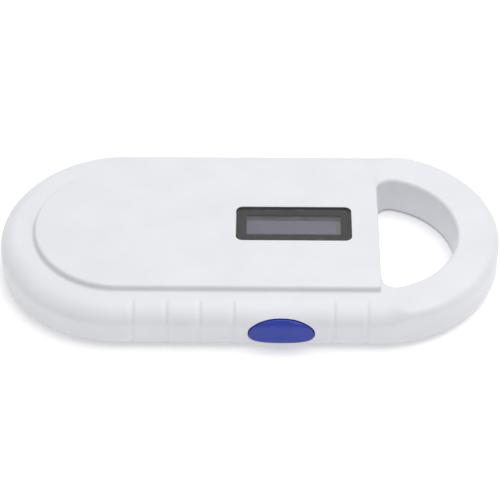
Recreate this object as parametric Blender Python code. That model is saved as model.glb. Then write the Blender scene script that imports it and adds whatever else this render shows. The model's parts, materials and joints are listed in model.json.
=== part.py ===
"""Hand-held animal microchip scanner, in metres, +Z up.

The body is a flat stadium, long in X, whose +X end is a ring round a D-shaped hole. The ring holds the
antenna winding, the middle holds the board, the display and the switch, and the -X end holds the battery.
The blue button is in the -Y side. The origin is the centre of the box's base.
"""

import math

import bmesh
import bpy
from mathutils import Vector

MM = 0.001

# Driving dimensions of the outside
LENGTH = 158 * MM
WIDTH = 78 * MM
BODY_HEIGHT = 13.8 * MM
PANEL_RISE = 1.9 * MM
TOP_FILLET = 5 * MM  # round the grip
SHOULDER_WIDTH = 8 * MM  # the top edge is this much wider and softer on the button's side
RING_TOP_FILLET = 2.4 * MM  # round the ring
RING_TIP_FILLET = 1.8 * MM  # what the ring's top edge gains towards its tip, on the button's side
RING_FILLET_FROM_X = 40 * MM
RING_FILLET_FULL_X = 54 * MM
BASE_FILLET = 4 * MM
WALL = 2 * MM

END_RADIUS = WIDTH / 2
END_X = LENGTH / 2 - END_RADIUS  # the end arcs' centres are at +-END_X

# Where the two covers meet: below the widest part, so that the seam is under the edge
SEAM_LOW = 0.8 * MM
SEAM_HIGH = 1.05 * MM
FLOOR = 1.8 * MM
TONGUE_TOP = 2.6 * MM
TONGUE_OUT = 2.3 * MM  # inset of the tongue's outer face
TONGUE_IN = 3.5 * MM
CEILING = BODY_HEIGHT - WALL

# Ring hole, an arc and a flat with rounded corners
HOLE_RADIUS = 25.6 * MM
HOLE_FLAT_X = 40.9 * MM
HOLE_CORNER = 4.6 * MM
HOLE_LIP = 1.3 * MM
HOLE_FLARE = 0.6  # how much wider the top lip opens in the hole's corners
HOLE_BASE_LIP = 0.6 * MM

# Raised panel
PANEL_RADIUS = 28 * MM
PANEL_RIGHT_X = 40.7 * MM
PANEL_CORNER = 1 * MM
PANEL_EDGE = 0.95 * MM  # radius of its top edge, and of the fillet at its foot
PANEL_RIGHT_EDGE = 0.4 * MM  # radius of its top edge beside the hole
PANEL_ROOT = 0.8 * MM  # how far the panel's solid reaches down into the body
PANEL_FOOT_TURNS = (16, 40, 66)  # degrees round the fillet at its foot
PANEL_TOP_TURNS = (0, 30, 60, 90)  # degrees round its top edge
PANEL_TOP = BODY_HEIGHT + PANEL_RISE
EDGE_BREAK = 0.1 * MM  # of the hole's edges at the seam

# Grip grooves, in the button's side
GROOVE_PITCH = 10.25 * MM
GROOVE_WIDTH = 2.5 * MM
GROOVE_DEPTH = 0.35 * MM
LEFT_GROOVES = 4
RIGHT_GROOVES = 2
GROOVES_MIDDLE_X = 10.6 * MM
GROOVE_FIRST_LEFT_X = GROOVES_MIDDLE_X - 1.5 * GROOVE_PITCH
GROOVE_FIRST_RIGHT_X = GROOVES_MIDDLE_X + 1.5 * GROOVE_PITCH

# Button
BUTTON_X = 10.1 * MM
BUTTON_Z = 6.2 * MM
BUTTON_HALF_WIDTH = 9.95 * MM
BUTTON_RISE = 5.0 * MM
BUTTON_DROP = 4.1 * MM
BUTTON_FULLNESS = 2.3  # an ellipse has 2, and a fuller oval has more
BUTTON_PROUD = 0.55 * MM
BUTTON_EDGE_PROUD = 0.3 * MM
BUTTON_GAP = 0.3 * MM
BUTTON_TRAVEL = 0.6 * MM
BUTTON_INNER_Y = -(END_RADIUS - WALL) + 0.5 * MM
FLANGE_HALF_WIDTH = 12.2 * MM
FLANGE_THICK = 1 * MM
FLANGE_LOW_Z = 3.4 * MM
FLANGE_HIGH_Z = 9 * MM
STEM_RADIUS = 1.5 * MM
STEM_Z = 6.2 * MM
STEM_TIP_Y = -34.55 * MM
FLANGE_LOW_Y = -(END_RADIUS - WALL) + 0.35 * MM
FLANGE_HIGH_Y = FLANGE_LOW_Y + FLANGE_THICK
NOTCH_LOW_Z = 1.85 * MM  # of the tongue's notch behind the button
NOTCH_LOW_Y = -END_RADIUS + 1.8 * MM
NOTCH_HIGH_Y = -END_RADIUS + 4.4 * MM

# Switch behind the button, and the nickel frame that holds it to the board
SWITCH_HALF_WIDTH = 3 * MM
SWITCH_FRONT_Y = -33.4 * MM
SWITCH_BACK_Y = -30.6 * MM
SWITCH_LOW_Z = 4.6 * MM
PLUNGER_HALF_WIDTH = 1.5 * MM
PLUNGER_HALF_HEIGHT = 0.8 * MM
PLUNGER_LENGTH = 2 * MM
PLUNGER_GAP = 0.15 * MM  # between the stem's tip and the plunger
POCKET_MARGIN = 0.2 * MM
POCKET_DEPTH = 1.8 * MM
FRAME_GAP = 0.1 * MM
FRAME_SHEET = 0.25 * MM

# Display
LENS_CENTRE = Vector((14 * MM, 1.2 * MM))
LENS_SIZE = Vector((36.3 * MM, 15.6 * MM))
WINDOW_CENTRE = Vector((14 * MM, 1.5 * MM))
WINDOW_SIZE = Vector((29.9 * MM, 9 * MM))
WINDOW_CORNER = 0.4 * MM
GLASS_SIZE = Vector((30 * MM, 11.5 * MM))
LENS_CORNER = 2.0 * MM
LENS_GAP = 0.15 * MM
LENS_SUNK = 0.1 * MM
LENS_THICK = 1.3 * MM
MASK_THICK = 0.2 * MM
LENS_LEDGE_Z = 13.9 * MM
MASK_LOW_Z = LENS_LEDGE_Z + 0.1 * MM
GLASS_LOW_Z = 11.9 * MM
GLASS_THICK = 1.9 * MM
GLASS_OPENING_GAP = 0.4 * MM
FOAM_HALF_SIZE = Vector((13 * MM, 4.8 * MM))
FLEX_HALF_WIDTH = 4 * MM
FLEX_THICK = 0.15 * MM
FLEX_START = 14 * MM  # from the window's middle
FLEX_STRAIGHT = 1.8 * MM

# Board
BOARD_LOW_X = -15 * MM
BOARD_HIGH_X = 34.5 * MM
BOARD_HALF_WIDTH = 34 * MM
BOARD_CORNER = 2 * MM
BOARD_LOW_Z = 8 * MM
BOARD_THICK = 1.2 * MM
BOARD_HIGH_Z = BOARD_LOW_Z + BOARD_THICK
SOLDER_GAP = 0.1 * MM
PART_TOP_Z = BOARD_LOW_Z - SOLDER_GAP  # the components hang under the board
BOARD_HOLE_RADIUS = 1.1 * MM
BOARD_BOSS_RADIUS = 2.3 * MM
BOARD_PILOT_RADIUS = 1 * MM
BOARD_BOSS_GAP = 0.3 * MM
BOARD_SCREWS = [
    (-11.5 * MM, -30 * MM),
    (-11.5 * MM, 30 * MM),
    (28 * MM, -30 * MM),
    (28 * MM, 30 * MM),
]

# Antenna winding, which runs round the hole inside the ring
COIL_GAP = 0.3 * MM
COIL_WIDTH = 2.8 * MM
COIL_LOW_Z = 4.2 * MM
COIL_HEIGHT = 4 * MM
COIL_MIDDLE = WALL + COIL_GAP + COIL_WIDTH / 2  # measured out from the hole
COIL_REST_RADIUS = 1.3 * MM

# Screws of the rear cover
SCREW_RING_RADIUS = 33.5 * MM
SCREW_RING_ANGLE = math.radians(62)
SCREW_RING_X = END_X + SCREW_RING_RADIUS * math.cos(SCREW_RING_ANGLE)
SCREW_RING_Y = SCREW_RING_RADIUS * math.sin(SCREW_RING_ANGLE)
COVER_SCREWS = [
    (-58 * MM, -25 * MM),
    (-58 * MM, 25 * MM),
    (-19 * MM, -31.5 * MM),
    (-19 * MM, 31.5 * MM),
    (SCREW_RING_X, -SCREW_RING_Y),
    (SCREW_RING_X, SCREW_RING_Y),
]
COVER_BOSS_RADIUS = 2.5 * MM
COVER_BOSS_LOW_Z = 4.2 * MM
CUP_RADIUS = 2.8 * MM
CUP_TOP_Z = 3.9 * MM
CUP_STEP_Z = 2.3 * MM
CUP_BORE_RADIUS = 2.15 * MM
CUP_HOLE_RADIUS = 1.4 * MM
PILOT_RADIUS = 1.3 * MM
PILOT_TOP_Z = 11.2 * MM
POST_ROOT = 1.1 * MM  # how far the front cover's posts reach into its ceiling
FLOOR_ROOT = 0.6 * MM  # how far the rear cover's posts reach into its floor
BATTERY_RIB_GAP = 0.5 * MM
BATTERY_RIB_THICK = 1.2 * MM
BATTERY_RIB_X = (-52 * MM, -28 * MM)
BATTERY_RIB_TOP_Z = 4.5 * MM

# Battery
CELL_LOW_X = -69 * MM
CELL_HIGH_X = -22 * MM
CELL_HALF_WIDTH = 17 * MM
CELL_LOW_Z = 3.1 * MM
CELL_THICK = 6 * MM
CELL_EDGE = 1.5 * MM
PAD_GAP = 0.2 * MM

# USB socket, in the +Y side
USB_X = GROOVES_MIDDLE_X
USB_Z = 6.55 * MM
USB_WIDTH = 7.5 * MM
USB_HEIGHT = 2.6 * MM
USB_WALL = 0.3 * MM
USB_BACK_Y = 31.8 * MM
USB_MOUTH_Y = END_RADIUS - 1.1 * MM
USB_CORNER_CUT = 0.9 * MM
USB_OPENING_MARGIN = 1 * MM
USB_FLOOR_Y = USB_BACK_Y + 1.2 * MM
USB_TONGUE_HALF_WIDTH = 2.3 * MM
USB_TONGUE_LOW_Z = USB_Z + 0.1 * MM
USB_TONGUE_THICK = 0.6 * MM

# Buzzer
BUZZER_X = -4 * MM
BUZZER_Y = 22 * MM
BUZZER_RADIUS = 5.5 * MM
BUZZER_HEIGHT = 5 * MM
SOUND_HOLE_RADIUS = 0.75 * MM
SOUND_HOLE_RING = 2.6 * MM
BUZZER_MOUTH_RADIUS = 1.2 * MM
BUZZER_MOUTH_DEPTH = 1.5 * MM
BUZZER_EDGE = 0.5 * MM

# Label on the underside
LABEL_LOW = Vector((-18 * MM, -13 * MM))
LABEL_HIGH = Vector((28 * MM, 13 * MM))
LABEL_RECESS = 0.35 * MM
LABEL_THICK = 0.15 * MM
LABEL_CORNER = 1.5 * MM
LABEL_MARGIN = 0.3 * MM

SHARP_ANGLE = math.radians(35)
BEYOND = 3 * MM  # how far a cutter runs past what it cuts


# ---------------------------------------------------------------- shapes


def material(name, colour, roughness, metallic=0.0, alpha=1.0):
    made = bpy.data.materials.new(name)
    made.use_nodes = True
    shader = made.node_tree.nodes["Principled BSDF"]
    shader.inputs["Base Color"].default_value = (*colour, 1)
    shader.inputs["Roughness"].default_value = roughness
    shader.inputs["Metallic"].default_value = metallic
    shader.inputs["Alpha"].default_value = alpha
    made.diffuse_color = (*colour, alpha)
    return made


def add_object(name, bm, look=None, origin=(0, 0, 0)):
    """Makes an object of a bmesh that is in world coordinates, with its origin where asked."""
    bmesh.ops.recalc_face_normals(bm, faces=bm.faces)
    bmesh.ops.translate(bm, vec=-Vector(origin), verts=bm.verts)
    mesh = bpy.data.meshes.new(name)
    bm.to_mesh(mesh)
    bm.free()
    if look:
        mesh.materials.append(look)
    mesh.shade_smooth()
    mesh.set_sharp_from_angle(angle=SHARP_ANGLE)
    made = bpy.data.objects.new(name, mesh)
    made.location = origin
    bpy.context.scene.collection.objects.link(made)
    return made


def tool(name, bm):
    """An object that only shapes others, so it isn't part of the scanner."""
    made = add_object(name, bm)
    made.hide_render = True
    made.display_type = "WIRE"
    return made


def combine(target, other, operation):
    change = target.modifiers.new(f"{operation.lower()}_{other.name}", "BOOLEAN")
    change.operation = operation
    change.solver = "EXACT"
    change.object = other


def add_loft(bm, rings):
    """Skins closed rings of equal length and caps both ends."""
    rows = [[bm.verts.new(point) for point in ring] for ring in rings]
    for lower, upper in zip(rows, rows[1:]):
        for i in range(len(lower)):
            j = (i + 1) % len(lower)
            bm.faces.new((lower[i], lower[j], upper[j], upper[i]))
    bm.faces.new(rows[0])
    bm.faces.new(rows[-1])


def add_tube(bm, outer, inner, low_z, high_z):
    """A closed wall between two outlines of equal length."""
    rings = [
        at_height(outer, low_z),
        at_height(outer, high_z),
        at_height(inner, high_z),
        at_height(inner, low_z),
    ]
    rows = [[bm.verts.new(point) for point in ring] for ring in rings]
    for lower, upper in zip(rows, [*rows[1:], rows[0]]):
        for i in range(len(lower)):
            j = (i + 1) % len(lower)
            bm.faces.new((lower[i], lower[j], upper[j], upper[i]))


def add_prism(bm, outline, low_z, high_z):
    add_loft(bm, [at_height(outline, low_z), at_height(outline, high_z)])


def add_box(bm, low, high):
    outline = [(low[0], low[1]), (high[0], low[1]), (high[0], high[1]), (low[0], high[1])]
    add_prism(bm, outline, low[2], high[2])


def add_cylinder(bm, x, y, radius, low_z, high_z, segments=20):
    add_prism(bm, circle(x, y, radius, segments), low_z, high_z)


def add_prism_along_y(bm, outline, low_y, high_y):
    """The outline's points are (x, z)."""
    add_loft(bm, [[(x, y, z) for x, z in outline] for y in (low_y, high_y)])


def at_height(outline, z):
    return [(x, y, z) for x, y in outline]


def circle(x, y, radius, segments):
    turn = 2 * math.pi / segments
    return [(x + radius * math.cos(turn * i), y + radius * math.sin(turn * i)) for i in range(segments)]


def arc(x, y, radius, start, end, segments):
    """Points and outward normals along an arc, ends included, as (x, y, normal x, normal y)."""
    found = []
    for i in range(segments + 1):
        angle = start + (end - start) * i / segments
        nx = math.cos(angle)
        ny = math.sin(angle)
        found.append((x + radius * nx, y + radius * ny, nx, ny))
    return found


def grown(stations, distance):
    """The outline that lies a distance outside stations of (x, y, normal x, normal y)."""
    return [(x + nx * distance, y + ny * distance) for x, y, nx, ny in stations]


def rounded_rectangle(centre, size, corner, segments=4):
    half_x = size.x / 2 - corner
    half_y = size.y / 2 - corner
    quarter = math.pi / 2
    stations = []
    for i, (sx, sy) in enumerate(((1, -1), (1, 1), (-1, 1), (-1, -1))):
        start = quarter * (i - 1)
        x = centre.x + sx * half_x
        y = centre.y + sy * half_y
        stations += arc(x, y, corner, start, start + quarter, segments)
    return grown(stations, 0)


def smooth_step(value, low, high):
    t = min(max((value - low) / (high - low), 0), 1)
    return t * t * (3 - 2 * t)


# ---------------------------------------------------------------- outlines of the body


def groove_centres():
    left = [GROOVE_FIRST_LEFT_X - GROOVE_PITCH * i for i in range(LEFT_GROOVES)]
    right = [GROOVE_FIRST_RIGHT_X + GROOVE_PITCH * i for i in range(RIGHT_GROOVES)]
    return sorted(left + right)


def groove_depth(x, ny):
    """How deep the grip grooves are at x on the -Y side: each is one wave of a raised cosine."""
    if ny > -1 + 1e-6:
        return 0.0
    for centre in groove_centres():
        away = abs(x - centre)
        if away < GROOVE_WIDTH / 2:
            return GROOVE_DEPTH * (0.5 + 0.5 * math.cos(2 * math.pi * away / GROOVE_WIDTH))
    return 0.0


def side_xs():
    """Stations along the -Y side: its ends, and five points across each groove."""
    xs = [-END_X]
    for centre in groove_centres():
        xs += [centre + GROOVE_WIDTH / 4 * step for step in (-2, -1, 0, 1, 2)]
    return xs + [END_X]


def body_stations(end_segments=28):
    """Round the outside, anticlockwise, from the -Y side's left end."""
    near = [(x, -END_RADIUS, 0.0, -1.0) for x in side_xs()]
    far = [(x, END_RADIUS, 0.0, 1.0) for x in (END_X, 0.0, -END_X)]
    quarter = math.pi / 2
    right_end = arc(END_X, 0, END_RADIUS, -quarter, quarter, end_segments)
    left_end = arc(-END_X, 0, END_RADIUS, quarter, 3 * quarter, end_segments)
    return near + right_end[1:-1] + far + left_end[1:-1]


def plain_stations(end_segments=20):
    """The same outline without the grooves' points."""
    quarter = math.pi / 2
    right_end = arc(END_X, 0, END_RADIUS, -quarter, quarter, end_segments)
    left_end = arc(-END_X, 0, END_RADIUS, quarter, 3 * quarter, end_segments)
    return right_end + left_end


def hole_stations(arc_segments=22, corner_segments=5):
    corner_x = HOLE_FLAT_X + HOLE_CORNER
    reach = HOLE_RADIUS - HOLE_CORNER
    corner_y = math.sqrt(reach**2 - (corner_x - END_X) ** 2)
    meet = math.atan2(corner_y, corner_x - END_X)
    near = arc(corner_x, -corner_y, HOLE_CORNER, -math.pi, -meet, corner_segments)
    round_side = arc(END_X, 0, HOLE_RADIUS, -meet, meet, arc_segments)
    far = arc(corner_x, corner_y, HOLE_CORNER, meet, math.pi, corner_segments)
    return near + round_side[1:-1] + far


def panel_stations(end_segments=24, corner_segments=4):
    quarter = math.pi / 2
    corner_x = PANEL_RIGHT_X - PANEL_CORNER
    corner_y = PANEL_RADIUS - PANEL_CORNER
    near = arc(corner_x, -corner_y, PANEL_CORNER, -quarter, 0, corner_segments)
    far = arc(corner_x, corner_y, PANEL_CORNER, 0, quarter, corner_segments)
    left_end = arc(-END_X, 0, PANEL_RADIUS, quarter, 3 * quarter, end_segments)
    return near + far + left_end


def top_edge_at(x, ny):
    """The top edge's width and height: a wide shoulder at the button, and a small round on the ring."""
    near = smooth_step(-ny, 0, 0.8)
    share = smooth_step(x, RING_FILLET_FROM_X + 2 * MM * near, RING_FILLET_FULL_X - 4 * MM * near)
    ring = RING_TOP_FILLET + RING_TIP_FILLET * near * smooth_step(x, RING_FILLET_FULL_X - 2 * MM, LENGTH / 2)
    grip = TOP_FILLET + (SHOULDER_WIDTH - TOP_FILLET) * near
    return grip + (ring - grip) * share, TOP_FILLET + (ring - TOP_FILLET) * share


def inner_fillet_at(x):
    """The same for the inside, which is round everywhere."""
    share = smooth_step(x, RING_FILLET_FROM_X, RING_FILLET_FULL_X)
    return max(TOP_FILLET + (RING_TOP_FILLET - TOP_FILLET) * share - WALL, 0.5 * MM)


def base_inset(z):
    """How far the base fillet lies inside the widest outline at height z."""
    if z >= BASE_FILLET:
        return 0.0
    return BASE_FILLET - math.sqrt(BASE_FILLET**2 - (BASE_FILLET - z) ** 2)


def side_inset(z):
    """The same for the whole side at the grip, top fillet included."""
    above = z - (BODY_HEIGHT - TOP_FILLET)
    if above <= 0:
        return base_inset(z)
    return SHOULDER_WIDTH * (1 - math.sqrt(1 - (above / TOP_FILLET) ** 2))


def top_ring(stations, turn, groove_share):
    """One ring of the top edge. turn runs from 0 at the wall to a quarter turn at the flat."""
    ring = []
    for x, y, nx, ny in stations:
        width, height = top_edge_at(x, ny)
        groove = groove_depth(x, ny) * groove_share
        inset = width * (1 - math.cos(turn)) + groove * math.cos(turn)
        z = BODY_HEIGHT - height * (1 - math.sin(turn)) - groove * math.sin(turn)
        ring.append((x - nx * inset, y - ny * inset, z))
    return ring


def inner_top_ring(stations, turn):
    ring = []
    for x, y, nx, ny in stations:
        radius = inner_fillet_at(x)
        inset = WALL + radius * (1 - math.cos(turn))
        ring.append((x - nx * inset, y - ny * inset, CEILING - radius * (1 - math.sin(turn))))
    return ring


def side_ring(stations, z):
    """One ring of the base fillet or of the wall, grooves included."""
    ring = []
    for x, y, nx, ny in stations:
        inset = base_inset(z) + groove_depth(x, ny)
        ring.append((x - nx * inset, y - ny * inset, z))
    return ring


# ---------------------------------------------------------------- covers


def lip_share(x, flare):
    """How much of the hole's lip there is at x. A flare starts it sooner, and opens the corners wider."""
    if not flare:
        return smooth_step(x, HOLE_FLAT_X + 0.2 * MM, HOLE_FLAT_X + HOLE_CORNER)
    start = smooth_step(x, HOLE_FLAT_X + 0.2 * MM, HOLE_FLAT_X + 1.8 * MM)
    return start * (1 + flare * (1 - smooth_step(x, HOLE_FLAT_X + 4 * MM, HOLE_FLAT_X + 9 * MM)))


def hole_cutter(name, low_z, high_z, low_lip, high_lip, flare=0.0):
    """The D-shaped hole. Its edges open out in a lip on the round side, and the flat side stays straight."""
    stations = hole_stations()
    steps = 4
    levels = [(low_z - BEYOND, low_lip)]
    for i in range(steps + 1):
        turn = math.pi / 2 * (1 - i / steps)
        levels.append((low_z + low_lip * (1 - math.sin(turn)), low_lip * (1 - math.cos(turn))))
    for i in range(steps + 1):
        turn = math.pi / 2 * i / steps
        levels.append((high_z - high_lip * (1 - math.sin(turn)), high_lip * (1 - math.cos(turn))))
    levels.append((high_z + BEYOND, high_lip))
    rings = []
    for z, lip in levels:
        ring = []
        for x, y, nx, ny in stations:
            share = lip_share(x, flare if z > (low_z + high_z) / 2 else 0.0)
            ring.append((x + nx * lip * share, y + ny * lip * share, z))
        rings.append(ring)
    bm = bmesh.new()
    add_loft(bm, rings)
    return tool(name, bm)


def front_cover_outside(look):
    stations = body_stations()
    wall_top = BODY_HEIGHT - TOP_FILLET
    rings = [side_ring(stations, z) for z in (SEAM_HIGH, 1.7 * MM, BASE_FILLET, wall_top)]
    steps = 6
    for i in range(steps + 1):
        turn = math.pi / 2 * i / steps
        groove_share = 1 - smooth_step(i / steps, 0.72, 1)
        rings.append(top_ring(stations, turn, groove_share))
    bm = bmesh.new()
    add_loft(bm, rings)
    return add_object("front_cover", bm, look)


def raised_panel():
    """The panel. Its side is one soft wave from foot to top, and steep beside the hole."""
    stations = panel_stations()
    rings = []
    for turn in map(math.radians, PANEL_FOOT_TURNS):
        ring = []
        for x, y, nx, ny in stations:
            out = PANEL_EDGE * (1 - math.sin(turn)) * (1 - smooth_step(nx, 0, 1))
            z = BODY_HEIGHT + PANEL_EDGE * (1 - math.cos(turn))
            ring.append((x + nx * out, y + ny * out, z))
        rings.append(ring)
    rings.insert(0, at_height([(x, y) for x, y, z in rings[0]], BODY_HEIGHT - PANEL_ROOT))
    for turn in map(math.radians, PANEL_TOP_TURNS):
        ring = []
        for x, y, nx, ny in stations:
            edge = PANEL_EDGE + (PANEL_RIGHT_EDGE - PANEL_EDGE) * smooth_step(nx, 0, 1)
            inset = edge * (1 - math.cos(turn))
            ring.append((x - nx * inset, y - ny * inset, PANEL_TOP - edge * (1 - math.sin(turn))))
        rings.append(ring)
    bm = bmesh.new()
    add_loft(bm, rings)
    return tool("panel_solid", bm)


def cavity():
    """The hollow of the front cover, which leaves a wall round the outside and round the hole."""
    stations = plain_stations()
    outline = grown(stations, -WALL)
    rings = [at_height(outline, SEAM_HIGH - BEYOND)]
    steps = 3
    for i in range(steps + 1):
        rings.append(inner_top_ring(stations, math.pi / 2 * i / steps))
    bm = bmesh.new()
    add_loft(bm, rings)
    hollow = tool("cavity_solid", bm)
    bm = bmesh.new()
    add_prism(bm, grown(hole_stations(), WALL), -2 * BEYOND, BODY_HEIGHT + BEYOND)
    combine(hollow, tool("hole_wall_solid", bm), "DIFFERENCE")
    return hollow


def coil_rests():
    """Where short posts of both covers hold the winding."""
    radius = HOLE_RADIUS + COIL_MIDDLE
    flat_x = HOLE_FLAT_X - COIL_MIDDLE
    on_ring = [(END_X + radius * math.cos(a), radius * math.sin(a)) for a in map(math.radians, (-34, 0, 34))]
    return on_ring + [(flat_x, -12 * MM), (flat_x, 12 * MM)]


def front_posts():
    into_ceiling = CEILING + POST_ROOT
    bm = bmesh.new()
    for x, y in COVER_SCREWS:
        add_cylinder(bm, x, y, COVER_BOSS_RADIUS, COVER_BOSS_LOW_Z, into_ceiling)
    for x, y in BOARD_SCREWS:
        add_cylinder(bm, x, y, BOARD_BOSS_RADIUS, BOARD_HIGH_Z + BOARD_BOSS_GAP, into_ceiling)
    for x, y in coil_rests():
        add_cylinder(bm, x, y, COIL_REST_RADIUS, COIL_LOW_Z + COIL_HEIGHT + COIL_GAP, into_ceiling, 12)
    return tool("front_posts", bm)


def front_pilots():
    bm = bmesh.new()
    for x, y in COVER_SCREWS:
        add_cylinder(bm, x, y, PILOT_RADIUS, COVER_BOSS_LOW_Z - BEYOND, PILOT_TOP_Z, 14)
    for x, y in BOARD_SCREWS:
        add_cylinder(bm, x, y, BOARD_PILOT_RADIUS, BOARD_HIGH_Z - BEYOND, CEILING - PAD_GAP, 12)
    return tool("front_pilots", bm)


def display_cutters():
    bm = bmesh.new()
    recess = LENS_SIZE + Vector((2 * LENS_GAP, 2 * LENS_GAP))
    add_prism(bm, rounded_rectangle(LENS_CENTRE, recess, LENS_CORNER), LENS_LEDGE_Z, PANEL_TOP + BEYOND)
    lens_recess = tool("lens_recess", bm)
    bm = bmesh.new()
    opening = GLASS_SIZE + Vector((2 * GLASS_OPENING_GAP, 2 * GLASS_OPENING_GAP))
    outline = rounded_rectangle(WINDOW_CENTRE, opening, 0.5 * MM, 2)
    add_prism(bm, outline, CEILING - BEYOND, LENS_LEDGE_Z + 0.5 * MM)
    return lens_recess, tool("glass_opening", bm)


def button_outline(share, gap, segments):
    """The button's full oval, as (x, z). Its lower half is flatter than its upper half."""
    found = []
    power = 2 / BUTTON_FULLNESS
    for i in range(segments):
        angle = 2 * math.pi * i / segments
        across = math.copysign(abs(math.cos(angle)) ** power, math.cos(angle))
        upward = math.copysign(abs(math.sin(angle)) ** power, math.sin(angle))
        height = BUTTON_RISE if upward >= 0 else BUTTON_DROP
        x = BUTTON_X + (BUTTON_HALF_WIDTH * share + gap) * across
        found.append((x, BUTTON_Z + (height * share + gap) * upward))
    return found


def side_openings():
    bm = bmesh.new()
    outline = button_outline(1, BUTTON_GAP, 48)
    add_prism_along_y(bm, outline, -END_RADIUS - BEYOND, BUTTON_INNER_Y + BUTTON_TRAVEL + 1 * MM)
    button_opening = tool("button_opening", bm)
    bm = bmesh.new()
    size = Vector((USB_WIDTH + USB_OPENING_MARGIN, USB_HEIGHT + USB_OPENING_MARGIN))
    outline = rounded_rectangle(Vector((USB_X, USB_Z)), size, USB_CORNER_CUT, 3)
    add_prism_along_y(bm, outline, END_RADIUS - WALL - BEYOND, END_RADIUS + BEYOND)
    return button_opening, tool("usb_opening", bm)


def make_front_cover(look):
    cover = front_cover_outside(look)
    combine(cover, raised_panel(), "UNION")
    combine(cover, cavity(), "DIFFERENCE")
    hole = hole_cutter("hole_solid_front", SEAM_HIGH, BODY_HEIGHT, EDGE_BREAK, HOLE_LIP, HOLE_FLARE)
    combine(cover, hole, "DIFFERENCE")
    combine(cover, front_posts(), "UNION")
    combine(cover, front_pilots(), "DIFFERENCE")
    for cutter in (*display_cutters(), *side_openings()):
        combine(cover, cutter, "DIFFERENCE")
    return cover


def rear_cover_outside(look):
    """Base fillet, seam ledge, tongue and floor in one skin."""
    stations = body_stations()
    rings = [side_ring(stations, z) for z in (0, 0.15 * MM, 0.4 * MM, SEAM_LOW)]
    levels = (
        (SEAM_LOW, TONGUE_OUT),
        (TONGUE_TOP, TONGUE_OUT),
        (TONGUE_TOP, TONGUE_IN),
        (FLOOR, TONGUE_IN),
    )
    rings += [at_height(grown(stations, -inset), z) for z, inset in levels]
    bm = bmesh.new()
    add_loft(bm, rings)
    return add_object("rear_cover", bm, look)


def rear_additions():
    """Tongue round the hole, cups for the screws, posts under the winding and ribs beside the battery."""
    bm = bmesh.new()
    add_prism(bm, grown(hole_stations(), TONGUE_IN), FLOOR - FLOOR_ROOT, TONGUE_TOP - 0.05 * MM)
    hole_tongue = tool("hole_tongue", bm)
    bm = bmesh.new()
    for x, y in COVER_SCREWS:
        add_cylinder(bm, x, y, CUP_RADIUS, FLOOR - 1.5 * FLOOR_ROOT, CUP_TOP_Z)
    for x, y in coil_rests():
        add_cylinder(bm, x, y, COIL_REST_RADIUS, FLOOR - 1.2 * FLOOR_ROOT, COIL_LOW_Z - COIL_GAP, 12)
    rib_inner = CELL_HALF_WIDTH + BATTERY_RIB_GAP
    rib_outer = rib_inner + BATTERY_RIB_THICK
    low_x, high_x = BATTERY_RIB_X
    for low_y, high_y in ((-rib_outer, -rib_inner), (rib_inner, rib_outer)):
        add_box(bm, (low_x, low_y, FLOOR - 0.8 * FLOOR_ROOT), (high_x, high_y, BATTERY_RIB_TOP_Z))
    return hole_tongue, tool("rear_posts", bm)


def rear_cutters():
    bm = bmesh.new()
    add_prism(bm, grown(hole_stations(), TONGUE_OUT), SEAM_LOW, TONGUE_TOP + BEYOND)
    hole_ledge = tool("hole_ledge", bm)
    bm = bmesh.new()
    half = FLANGE_HALF_WIDTH + 1 * MM
    add_box(
        bm,
        (BUTTON_X - half, NOTCH_LOW_Y, NOTCH_LOW_Z),
        (BUTTON_X + half, NOTCH_HIGH_Y, TONGUE_TOP + BEYOND),
    )
    tongue_notch = tool("tongue_notch", bm)
    bm = bmesh.new()
    for x, y in COVER_SCREWS:
        add_cylinder(bm, x, y, CUP_BORE_RADIUS, -BEYOND, CUP_STEP_Z)
    screw_bores = tool("screw_bores", bm)
    bm = bmesh.new()
    for x, y in COVER_SCREWS:
        add_cylinder(bm, x, y, CUP_HOLE_RADIUS, CUP_STEP_Z - 0.4 * MM, CUP_TOP_Z + BEYOND, 14)
    screw_holes = tool("screw_holes", bm)
    bm = bmesh.new()
    add_cylinder(bm, BUZZER_X, BUZZER_Y, SOUND_HOLE_RADIUS, -BEYOND, FLOOR + BEYOND, 10)
    for x, y in circle(BUZZER_X, BUZZER_Y, SOUND_HOLE_RING, 6):
        add_cylinder(bm, x, y, SOUND_HOLE_RADIUS, -BEYOND, FLOOR + BEYOND, 10)
    centre = (LABEL_LOW + LABEL_HIGH) / 2
    recess = LABEL_HIGH - LABEL_LOW + 2 * Vector((LABEL_MARGIN, LABEL_MARGIN))
    add_prism(bm, rounded_rectangle(centre, recess, LABEL_CORNER, 3), -BEYOND, LABEL_RECESS)
    return hole_ledge, tongue_notch, screw_bores, screw_holes, tool("base_openings", bm)


def make_rear_cover(look):
    cover = rear_cover_outside(look)
    hole_tongue, posts = rear_additions()
    hole_ledge, *others = rear_cutters()
    combine(cover, hole_tongue, "UNION")
    combine(cover, hole_ledge, "DIFFERENCE")
    combine(cover, posts, "UNION")
    for cutter in others:
        combine(cover, cutter, "DIFFERENCE")
    combine(cover, hole_cutter("hole_solid_rear", 0, SEAM_LOW, HOLE_BASE_LIP, EDGE_BREAK), "DIFFERENCE")
    return cover


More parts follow.
